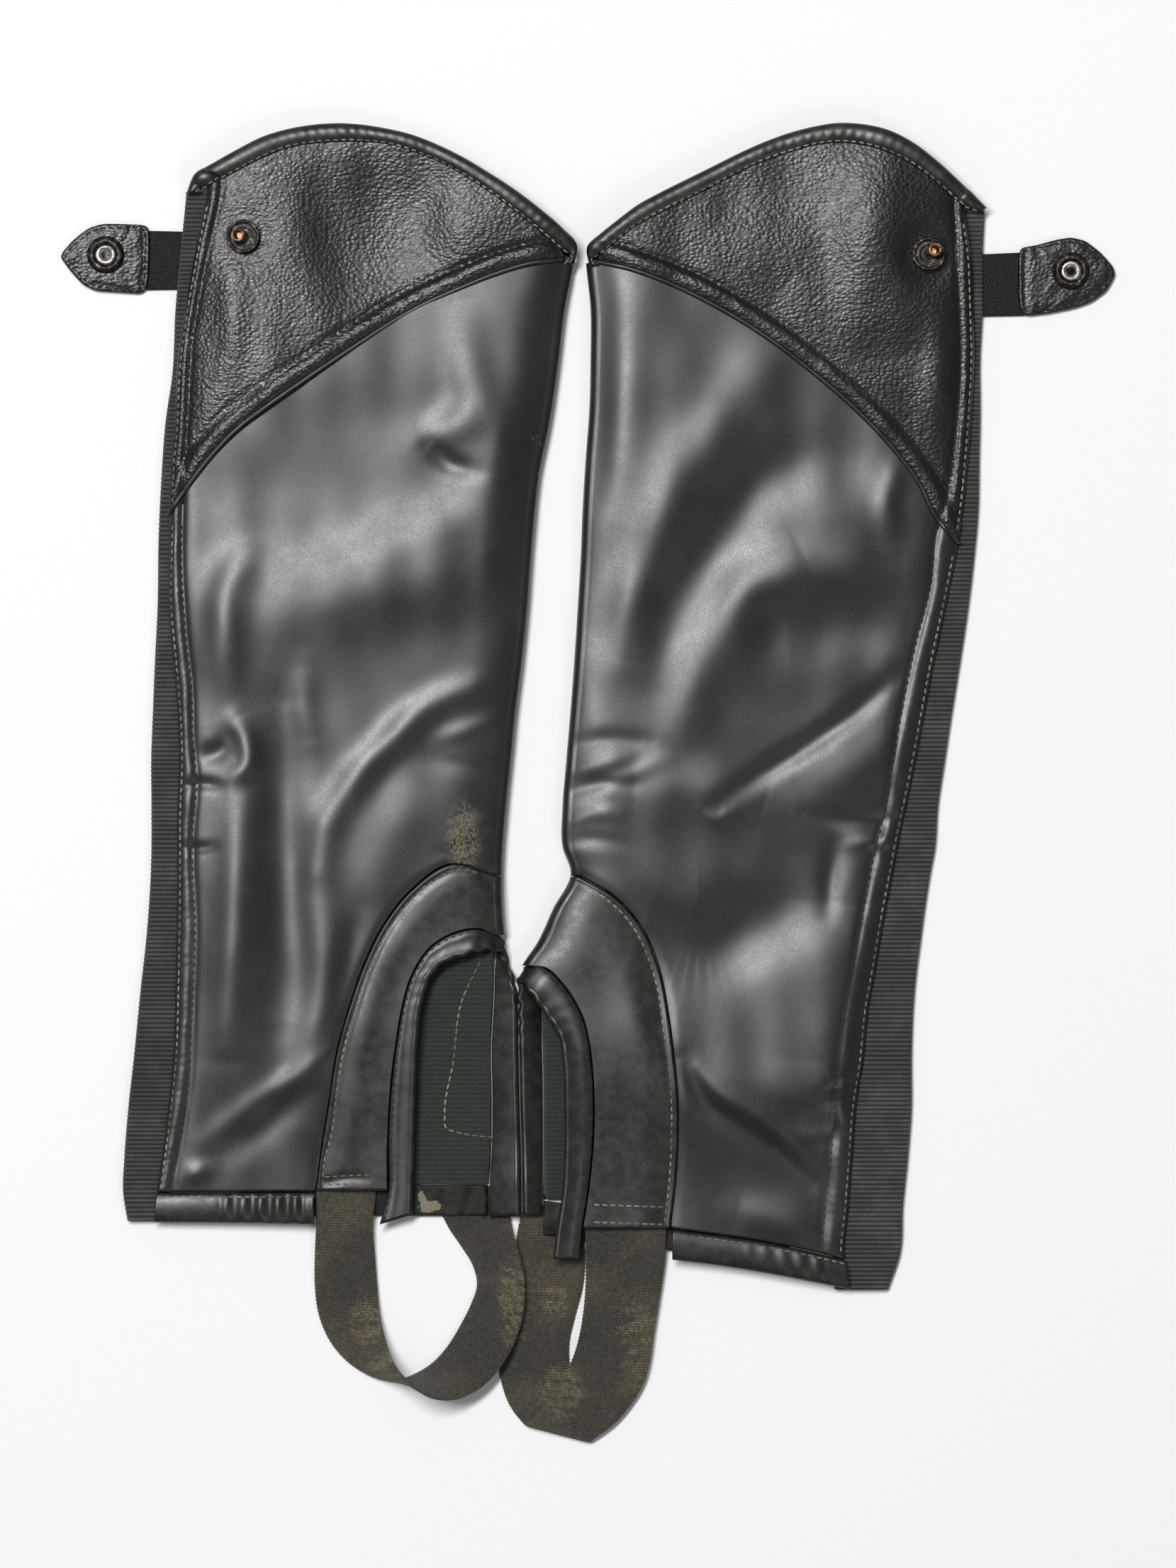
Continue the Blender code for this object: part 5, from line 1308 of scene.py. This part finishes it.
def leather_tab(chap, finish):
    """The padded leather tab. Gives its row of stitches."""
    outline = np.array(chap.tab, float)
    loop = np.vstack([outline, outline[:1]])
    rim = []
    for start, end in zip(loop[:-1], loop[1:]):
        rim += [start + (end - start) * k / 8 for k in range(8)]
    rim = np.array(rim)
    for _ in range(5):
        rim = (np.roll(rim, 1, axis=0) + 2 * rim + np.roll(rim, -1, axis=0)) / 4
    centre = rim.mean(axis=0)
    share = np.array([0.02, 0.2, 0.4, 0.55, 0.68, 0.78, 0.85, 0.9, 0.94, 0.97, 0.99, 1.0])
    plan = centre + (rim - centre)[:, None] * share[None, :, None]
    distance = (1 - share)[None] * np.linalg.norm(rim - centre, axis=1)[:, None]
    x, y = plan[..., 0], plan[..., 1]
    puffed = 0.12 * undulation(x, y, size=9, seed=51) * smoothstep(distance / 3)
    puffed = puffed + groove(distance - TAB_SEWN) * 0.7
    inward = np.abs(x - outline[0, 0])
    for row in TAB_ROWS:
        puffed = puffed + groove(inward - row)
    top = TAB + puffed - edge_drop(distance, 1.4)
    upper = np.dstack([plan, top])
    under = np.dstack([plan, edge_drop(distance, 0.8) * 0.9])
    sections = np.concatenate([upper, under[:, ::-1]], axis=1)
    made = tube(f"{chap.name}_leather_tab", sections, finish, closed=True)
    declare(made, f"{chap.name}_tab")
    inset = centre + (rim - centre) * (1 - TAB_SEWN / np.linalg.norm(rim - centre, axis=1))[:, None]
    row = np.column_stack([inset, np.full(len(inset), TAB - 0.2)])
    return np.vstack([row, row[:1]])


def tab_band(chap, finish):
    """The elastic band between the gusset and the tab."""
    corners = np.array(chap.tab_webbing, float)
    corners[:, 0] += chap.rearward * UNDERLAP * np.array([-1, 1, 1, -1])
    s, t = np.linspace(0, 1, 60)[:, None], np.linspace(0, 1, 40)[:, None, None]
    upper = corners[0] + s * (corners[1] - corners[0])
    lower = corners[3] + s * (corners[2] - corners[3])
    plan = upper[None] * (1 - t) + lower[None] * t
    x, y = plan[..., 0], plan[..., 1]
    ribs = 0.06 * np.cos(2 * math.pi * y / STRAP_RIB) + 0.03 * np.cos(2 * math.pi * x)
    faces = np.dstack([plan, TAB_WEBBING - 0.1 + ribs]), np.dstack([plan, np.zeros(ribs.shape)])
    made = wall(f"{chap.name}_tab_band", *faces, finish, np.dstack([y, x]))
    declare(made, f"{chap.name}_tab_webbing")


# ---- finishes ------------------------------------------------------------------------------------


class Field:
    """A value that varies over a surface. Arithmetic on it adds Math nodes."""

    def __init__(self, finish, socket):
        self.finish, self.socket = finish, socket

    def math(self, operation, first, second):
        return self.finish.node("Math", {"operation": operation}, {0: first, 1: second})

    def __add__(self, other):
        return self.math("ADD", self, other)

    def __sub__(self, other):
        return self.math("SUBTRACT", self, other)

    def __rsub__(self, other):
        return self.math("SUBTRACT", other, self)

    def __mul__(self, other):
        return self.math("MULTIPLY", self, other)

    __radd__ = __add__
    __rmul__ = __mul__


class Finish:
    """A material in the making. Its patterns are laid out in millimetres of the part."""

    def __init__(self, name, **constants):
        self.material = bpy.data.materials.new(name)
        self.material.use_nodes = True
        self.tree = self.material.node_tree
        self.shader = self.tree.nodes["Principled BSDF"]
        for socket, value in constants.items():
            self.shader.inputs[socket.replace("_", " ")].default_value = value
        coordinates = self.node("TexCoord", output="Object")
        self.place = self.node("VectorMath", {"operation": "SCALE"}, {0: coordinates, "Scale": 1 / MM})

    def node(self, kind, settings=None, inputs=None, output=0):
        """A new node with its settings and its inputs, each a value or a field. Gives one output."""
        made = self.tree.nodes.new("ShaderNode" + kind)
        for setting, value in (settings or {}).items():
            setattr(made, setting, value)
        for socket, value in (inputs or {}).items():
            self.set(made.inputs[socket], value)
        return Field(self, made.outputs[output])

    def set(self, socket, value):
        if isinstance(value, Field):
            self.tree.links.new(value.socket, socket)
        else:
            socket.default_value = value

    def weave(self):
        """The piece's own map, in millimetres along and across the cloth."""
        woven = self.node("UVMap", {"uv_map": "weave"})
        return self.node("VectorMath", {"operation": "SCALE"}, {0: woven, "Scale": 1 / MM})

    def stretched(self, vector, x, y, z=1.0):
        return self.node("VectorMath", {"operation": "MULTIPLY"}, {0: vector, 1: (x, y, z)})

    def noise(self, size, detail=3.0, roughness=0.55, vector=None):
        inputs = {"Vector": vector or self.place, "Scale": 1 / size, "Detail": detail, "Roughness": roughness}
        return self.node("TexNoise", {"noise_dimensions": "3D"}, inputs)

    def cells(self, size, feature, vector, randomness=1.0):
        inputs = {"Vector": vector, "Scale": 1 / size, "Randomness": randomness}
        return self.node("TexVoronoi", {"feature": feature}, inputs, "Distance")

    def ribs(self, vector, axis, pitch, drift=0.0):
        """Ridges between 0 and 1, a pitch apart along one axis of the map."""
        place = self.node("SeparateXYZ", None, {0: vector}, axis)
        wander = self.node("Math", {"operation": "SINE"}, {0: place * (1 / DRIFT_LENGTH)})
        phase = place * (2 * math.pi / pitch) + wander * drift
        return self.node("Math", {"operation": "COSINE"}, {0: phase}) * 0.5 + 0.5

    def smooth(self, field, low, high):
        """0 below low, 1 above high and smooth in between."""
        settings = {"interpolation_type": "SMOOTHSTEP"}
        return self.node("MapRange", settings, {"Value": field, "From Min": low, "From Max": high})

    def mix(self, first, second, share):
        """The first colour where share is 0 and the second where it is 1."""
        first, second = (c if isinstance(c, Field) else (*c, 1.0) for c in (first, second))
        return self.node("Mix", {"data_type": "RGBA"}, {0: share, 6: first, 7: second}, 2)

    def spot(self, x, y, reach_x, reach_y):
        """1 in the middle of a place on the part, fading to 0 at its rim."""
        moved = self.node("VectorMath", {"operation": "SUBTRACT"}, {0: self.place, 1: (x, y, 0)})
        flat = self.stretched(moved, 1 / reach_x, 1 / reach_y, 0)
        length = self.node("VectorMath", {"operation": "LENGTH"}, {0: flat}, "Value")
        return 1 - self.smooth(length, 0.2, 1.0)

    def bump(self, height, depth):
        """Relief of that depth in millimetres."""
        normal = self.node("Bump", None, {"Height": height, "Strength": 1.0, "Distance": depth * MM})
        self.set(self.shader.inputs["Normal"], normal)

    def use(self, **fields):
        """Feeds the shader and gives the material."""
        for socket, field in fields.items():
            self.set(self.shader.inputs[socket.replace("_", " ")], field)
        return self.material


def smooth_leather(name, shine=0.75, gloss=0.0, paleness=1.0, grime=0.0):
    """Coated leather with a fine crackled grain, rubbed and a little dusty."""
    f = Finish(name, Specular_IOR_Level=shine)
    drift = f.node("TexNoise", None, {"Vector": f.place, "Scale": 1 / 2.5, "Detail": 2.0}, "Color")
    bent = f.node("VectorMath", {"operation": "MULTIPLY_ADD"}, {0: drift, 1: (1.4, 1.4, 1.4), 2: f.place})
    crackle = f.smooth(f.cells(1.05, "DISTANCE_TO_EDGE", bent), 0.0, 0.26)
    fine = f.noise(0.5, 2.0, 0.6)
    hand = f.noise(5.0, 2.0)
    patchy = f.smooth(f.noise(30, 3.0, 0.5), 0.40, 0.65)
    f.bump(crackle * (0.03 + patchy * 0.07) + fine * 0.22 + hand * 0.5, 0.045)
    base = f.mix((0.004, 0.004, 0.0042), (0.0095, 0.0093, 0.0088), f.noise(60, 2.0))
    cracks = f.mix(base, (0.002, 0.002, 0.002), (1 - crackle) * 0.3)
    haze = f.smooth(f.noise(26, 4.0, 0.6), 0.45, 0.75) * (0.045 * paleness)
    colour = f.mix(cracks, (0.125, 0.11, 0.08), haze)
    film = f.smooth(f.noise(5.0, 4.0, 0.65), 0.38, 0.66) * grime
    colour = f.mix(colour, (0.034, 0.033, 0.020), film)
    # The facing inside the left arch is worn through in one place
    chipped = f.spot(-63.6, -169.6, 8, 4.5) + f.spot(-67, -165.5, 3, 3.5) + f.noise(1.6, 3.0) * 1.2
    colour = f.mix(colour, (0.19, 0.17, 0.12), f.smooth(chipped, 1.15, 1.3))
    # Dried mud over the left arch
    specks = f.smooth(f.noise(1.0, 3.0, 0.7), 0.44, 0.56) * f.smooth(f.noise(5.0, 3.0), 0.30, 0.50)
    mud = f.spot(-50, -22, 9, 20) * specks
    colour = f.mix(colour, (0.17, 0.14, 0.075), mud * 0.9)
    # Scuffs along the left shin fold
    shin = f.spot(-20, 140, 5, 34)
    scuffs = shin * f.smooth(f.noise(1.6, 3.0, 0.7, f.stretched(f.place, 1.8, 0.7)), 0.64, 0.70)
    colour = f.mix(colour, (0.20, 0.18, 0.12), scuffs * paleness)
    roughness = 0.29 - gloss * 0.6 + f.noise(14, 3.0) * 0.12 + haze * 0.8 + film * 0.25
    roughness = roughness + mud * 0.4 + (1 - crackle) * 0.05
    return f.use(Base_Color=colour, Roughness=roughness)


def pebbled_leather(name):
    """Embossed leather with small rounded pebbles and narrow valleys, painted darker in the valleys as shade.
    """
    f = Finish(name, Specular_IOR_Level=0.5)
    drift = f.node("TexNoise", None, {"Vector": f.place, "Scale": 1 / 7.0, "Detail": 2.0}, "Color")
    bent = f.node("VectorMath", {"operation": "MULTIPLY_ADD"}, {0: drift, 1: (2.6, 2.6, 2.6), 2: f.place})
    pebbles = f.stretched(bent, 0.82, 1.12)
    domes = 1 - f.cells(1.5, "SMOOTH_F1", pebbles, 0.85)
    valleys = f.smooth(f.cells(1.5, "DISTANCE_TO_EDGE", pebbles, 0.85), 0.0, 0.22)
    f.bump(domes + valleys * 0.12 + f.noise(0.6, 2.0) * 0.04, 0.21)
    # Painted shade: the valleys between the pebbles are coloured darker than the pebbles' tops.
    base = f.mix((0.0018, 0.0018, 0.002), (0.0070, 0.0069, 0.0066), valleys)
    dusty = f.smooth(f.noise(25, 3.0), 0.5, 0.75) * 0.04
    colour = f.mix(base, (0.11, 0.10, 0.08), dusty)
    roughness = 0.26 + f.noise(9, 2.0) * 0.08 + (1 - valleys) * 0.10
    return f.use(Base_Color=colour, Roughness=roughness)


def ribbed_elastic(name):
    """Narrow elastic: raised ribs across it, painted paler on the ribs as light and darker in the gaps
    between them as shade.
    """
    f = Finish(name, Specular_IOR_Level=0.25, Sheen_Weight=0.15)
    woven = f.weave()
    yarn = f.noise(0.4, 2.0, 0.6, f.stretched(woven, 1.6, 1.0))
    rib = f.ribs(woven, "Y", RIB, RIB_DRIFT)
    f.bump(yarn + rib * 0.5, 0.2)
    worn = f.smooth(f.noise(14, 4.0, 0.6), 0.40, 0.70)
    dark = f.mix((0.014, 0.014, 0.0135), (0.026, 0.024, 0.022), worn)
    light = f.mix((0.040, 0.040, 0.039), (0.150, 0.144, 0.136), yarn * (0.5 + f.noise(3.0, 3.0)))
    brown = f.spot(-180, -112, 14, 34)  # faded, low on the left chap
    light = f.mix(light, (0.060, 0.046, 0.040), brown * 0.5)
    # Painted light and shade: the colour runs from dark in the gaps to pale on the ribs; the yarn flecks, the
    # wear and the faded patch are the elastic's own.
    return f.use(Base_Color=f.mix(dark, light, rib * (0.65 + worn * 0.35)), Roughness=0.72 + yarn * 0.2)


def band_elastic(name):
    """The tab's finely knitted black elastic."""
    f = Finish(name, Specular_IOR_Level=0.25)
    woven = f.weave()
    yarn = f.noise(0.45, 3.0, 0.7, f.stretched(woven, 1.0, 0.6))
    f.bump(yarn, 0.3)
    colour = f.mix((0.004, 0.004, 0.004), (0.050, 0.050, 0.049), f.smooth(yarn, 0.42, 0.72))
    return f.use(Base_Color=colour, Roughness=0.75 + yarn * 0.15)


def strap_webbing(name):
    """Olive-brown webbing, paler and golden in patches, and painted lighter on its rows of ribs as light and
    darker between them as shade.
    """
    f = Finish(name, Specular_IOR_Level=0.25, Sheen_Weight=0.2)
    woven = f.weave()
    yarn = f.noise(0.55, 3.0, 0.7, f.stretched(woven, 1.5, 0.9))
    rows = f.ribs(woven, "X", STRAP_RIB)
    f.bump(yarn + rows * 0.8, 0.35)
    worn = f.smooth(f.noise(30, 3.0, 0.5), 0.38, 0.66)
    dark = f.mix((0.013, 0.0125, 0.0105), (0.020, 0.0185, 0.014), worn)
    light = f.mix((0.115, 0.103, 0.080), (0.190, 0.165, 0.110), worn)
    yarn = yarn + (f.noise(1.7, 3.0) - 0.5) * 0.3
    # Painted light and shade: paler on the rows of ribs and darker between them; the yarn and its wear are
    # the webbing's own.
    colour = f.mix(dark, light, f.smooth(yarn, 0.32, 0.70) * (0.55 + rows * 0.35))
    # Paler golden patches at listed places, broken into streaks along the weave and stronger on the rows of
    # ribs.
    patchy = f.spot(-30, -208, 9, 26) + f.spot(-89, -216, 10, 13) + f.spot(-13, -208, 9, 9)
    patchy = patchy + f.spot(-80, -232, 14, 8) + f.spot(-10, -244, 12, 16) + f.spot(20, -222, 12, 28) * 0.7
    streaks = f.noise(4.0, 4.0, 0.7, f.stretched(woven, 1.0, 0.35))
    patchy = (patchy + 0.12) * f.smooth(streaks, 0.36, 0.60)
    paleness = f.smooth(patchy, 0.05, 0.8) * f.smooth(yarn, 0.42, 0.60) * (0.4 + rows * 0.6)
    colour = f.mix(colour, (0.33, 0.275, 0.155), paleness * 0.75)
    return f.use(Base_Color=colour, Roughness=0.8 + yarn * 0.15)


def knit(name):
    """The lining's ribbed knit, with lint and worn patches, painted darker between its ribs as shade."""
    f = Finish(name, Specular_IOR_Level=0.2, Sheen_Weight=0.25)
    woven = f.weave()
    loops = f.noise(0.5, 3.0, 0.7, f.stretched(woven, 0.8, 1.3))
    rib = f.ribs(woven, "Y", KNIT_RIB)
    f.bump(loops + rib * 0.5, 0.3)
    patches = f.smooth(f.noise(9, 4.0, 0.65), 0.35, 0.65)
    dark = f.mix((0.004, 0.0065, 0.007), (0.008, 0.012, 0.012), patches)
    light = f.mix((0.032, 0.044, 0.038), (0.062, 0.072, 0.058), loops)
    # Painted shade: the knit is coloured darker between its ribs; the speckle of its loops is its own.
    colour = f.mix(dark, light, f.smooth(loops, 0.25, 0.6) * (0.5 + rib * 0.4))
    lint = f.smooth(f.noise(1.1, 3.0, 0.8), 0.62, 0.72) * f.smooth(f.noise(9, 2.0), 0.45, 0.6)
    colour = f.mix(colour, (0.13, 0.14, 0.09), lint * 0.8)
    return f.use(Base_Color=colour, Roughness=0.9 + loops * 0.08)


def woven_tape(name):
    """The zip's tape."""
    f = Finish(name, Specular_IOR_Level=0.25)
    yarn = f.noise(0.4, 2.0, 0.6, f.stretched(f.place, 1.0, 2.0))
    f.bump(yarn, 0.15)
    colour = f.mix((0.008, 0.008, 0.009), (0.025, 0.025, 0.027), yarn)
    return f.use(Base_Color=colour, Roughness=0.75 + yarn * 0.15)


def thread(name, dark, pale):
    """Sewing thread, soiled in places."""
    f = Finish(name, Specular_IOR_Level=0.3)
    fibre = f.noise(0.4, 2.0)
    soil = f.smooth(f.noise(16, 3.0), 0.4, 0.65)
    return f.use(Base_Color=f.mix(dark, pale, soil * 0.7 + fibre * 0.3), Roughness=0.6 + fibre * 0.2)


def worn_metal(name, dark, bright, wear):
    """Plated metal, rubbed bright in places and dull in the rest."""
    f = Finish(name)
    patchy = f.smooth(f.noise(2.2, 4.0, 0.6), wear - 0.15, wear + 0.15)
    scratches = f.noise(0.5, 2.0, 0.7, f.stretched(f.place, 3.0, 0.6))
    f.bump(scratches + f.noise(1.0), 0.03)
    roughness = 0.42 - patchy * 0.12 + scratches * 0.15
    return f.use(Base_Color=f.mix(dark, bright, patchy), Roughness=roughness, Metallic=1.0 - patchy * 0.05)


# ---- the pair ------------------------------------------------------------------------------------

Looks = namedtuple(
    "Looks",
    "leg edge facing pebbled elastic band webbing knit tape pale_thread black_thread plating copper spring",
)


def laid_on(chap, top, x, y, lift):
    """A row of stitches on one of the upper faces, and that much above it."""
    return np.column_stack([x, y, top(chap, x, y) + lift])


def beside_elastic(chap, x, y, lift):
    """A row of stitches down the leather's rear edge, in two parts: above and below the piping."""
    piping_y = chap.panel_seam[0][1]
    parts = (top_top, y > piping_y + 3), (leg_top, y < piping_y - 4)
    return [laid_on(chap, top, x[part], y[part], lift) for top, part in parts]


def make_chap(chap, looks):
    """All that scene.py makes of one chap: its pieces, then its pale and its dark stitches."""
    leg_leather(chap, looks.leg)
    top_leather(chap, looks.pebbled)
    piping_cord(chap, looks.edge)
    lip_row = top_roll(chap, looks.edge)
    gusset(chap, looks.elastic)
    closed_zip(chap, looks.tape, looks.plating)
    arch_row = arch_roll(chap, looks.edge)
    guard_leather(chap, looks.edge)
    hem_row = hem_roll(chap, looks.edge)
    facing(chap, looks.facing)
    knit_lining(chap, looks.knit)
    strap(chap, looks.webbing)
    snap_stud(chap, looks.plating, looks.copper)
    snap_socket(chap, looks.plating, looks.spring)
    tab_row = leather_tab(chap, looks.pebbled)
    tab_band(chap, looks.band)

    y = np.linspace(chap.sections[0].y - 4, chap.sections[-1].y + 14, 300)
    edge_rows = beside_elastic(chap, across(chap, y, "seam") - chap.rearward * EDGE_ROW, y, lift=0.0)
    inner_rows = beside_elastic(chap, second_row_x(chap, y), y, lift=ON_LEATHER)
    guard_row = beside(along(chap.guard_edge, np.linspace(0.01, 0.97, 200)), chap.rearward * GUARD_ROW)
    guard_row = laid_on(chap, guard_top, *guard_row.T, 0.15)
    panel_row = beside(along(chap.panel_seam, np.linspace(0.06, 0.98, 200)), -chap.rearward * PIPING_ROW)
    panel_row = laid_on(chap, top_top, *panel_row.T, ON_LEATHER)
    detail = DETAILS[chap.name]
    mended = [laid_on(chap, guard_top, *np.linspace(*ends, 60).T, 0.2) for ends in detail.mended]
    pale_rows = [*edge_rows, lip_row, guard_row, hem_row, *mended]
    if detail.lining_row:
        line = along(detail.lining_row, np.linspace(0, 1, 80))
        pale_rows.append(np.column_stack([line, np.full(len(line), WALL + GAP + KNIT + 0.15)]))
    dark_rows = [*inner_rows, panel_row, arch_row, tab_row]
    sew(f"{chap.name}_pale_stitches", pale_rows, looks.pale_thread, seed=3)
    sew(f"{chap.name}_dark_stitches", dark_rows, looks.black_thread, seed=4)


# ---- scene ---------------------------------------------------------------------------------------

CAMERA_HEIGHT = 2.4
VIEW_HEIGHT = 0.6304  # how much of the surface the camera sees, from the top to the bottom of its frame
SENSOR = 36.0
FLOOR = 4.0  # half its side
FLOOR_Z = -0.0003


def soft_light(name, place, size, power):
    """A rectangular lamp that faces the middle of the part."""
    lamp = bpy.data.lights.new(name, "AREA")
    lamp.shape = "RECTANGLE"
    lamp.size, lamp.size_y = size
    lamp.energy = power
    made = bpy.data.objects.new(name, lamp)
    made.location = place
    made.rotation_euler = made.location.to_track_quat("Z", "Y").to_euler()
    bpy.context.scene.collection.objects.link(made)


def set_scene():
    """Camera, lamps, room and the paper that the pair lies on."""
    camera = bpy.data.cameras.new("camera")
    camera.sensor_fit = "VERTICAL"
    camera.sensor_height = SENSOR
    camera.lens = SENSOR * CAMERA_HEIGHT / VIEW_HEIGHT
    camera.clip_end = 20
    above = bpy.data.objects.new("camera", camera)
    above.location = (0, 0, CAMERA_HEIGHT)
    bpy.context.scene.collection.objects.link(above)
    bpy.context.scene.camera = above
    bpy.context.scene.view_settings.view_transform = "Standard"

    soft_light("window", (-0.92, 0.98, 3.38), (2.0, 0.55), 118)
    soft_light("side", (1.6, -1.9, 2.6), (1.0, 1.0), 10)
    world = bpy.data.worlds.new("room")
    world.use_nodes = True
    world.node_tree.nodes["Background"].inputs["Color"].default_value = (1.0, 1.0, 1.0, 1)
    world.node_tree.nodes["Background"].inputs["Strength"].default_value = 0.19
    bpy.context.scene.world = world

    paper = Finish("paper")
    grain = paper.noise(3.0)
    paper.bump(grain, 0.02)
    white = paper.mix((0.90, 0.90, 0.90), (0.94, 0.94, 0.94), grain)
    paper.use(Base_Color=white, Roughness=0.8 + grain * 0.1)
    mesh = bpy.data.meshes.new("floor")
    corners = [(-FLOOR, -FLOOR), (FLOOR, -FLOOR), (FLOOR, FLOOR), (-FLOOR, FLOOR)]
    mesh.from_pydata([(x, y, FLOOR_Z) for x, y in corners], [], [(0, 1, 2, 3)])
    mesh.materials.append(paper.material)
    floor = bpy.data.objects.new("floor", mesh)
    bpy.context.scene.collection.objects.link(floor)


looks = Looks(
    leg=smooth_leather("leg_leather"),
    edge=smooth_leather("edge_leather", shine=0.62, gloss=0.04, paleness=0.7, grime=0.3),
    facing=smooth_leather("facing_leather", shine=0.2, gloss=-0.2, paleness=0.6, grime=0.8),
    pebbled=pebbled_leather("pebbled_leather"),
    elastic=ribbed_elastic("ribbed_elastic"),
    band=band_elastic("band_elastic"),
    webbing=strap_webbing("strap_webbing"),
    knit=knit("ribbed_knit"),
    tape=woven_tape("zip_tape"),
    pale_thread=thread("pale_thread", (0.10, 0.10, 0.08), (0.37, 0.35, 0.28)),
    black_thread=thread("black_thread", (0.006, 0.006, 0.006), (0.035, 0.035, 0.032)),
    plating=worn_metal("dark_plating", (0.03, 0.029, 0.028), (0.22, 0.20, 0.17), 0.62),
    copper=worn_metal("copper", (0.08, 0.04, 0.025), (0.42, 0.23, 0.14), 0.5),
    spring=worn_metal("spring_steel", (0.10, 0.10, 0.095), (0.45, 0.42, 0.36), 0.45),
)
for chap in (LEFT, RIGHT):
    make_chap(chap, looks)
    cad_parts[f"{chap.name}_zip_slider"].material_slots[0].material = looks.plating
set_scene()
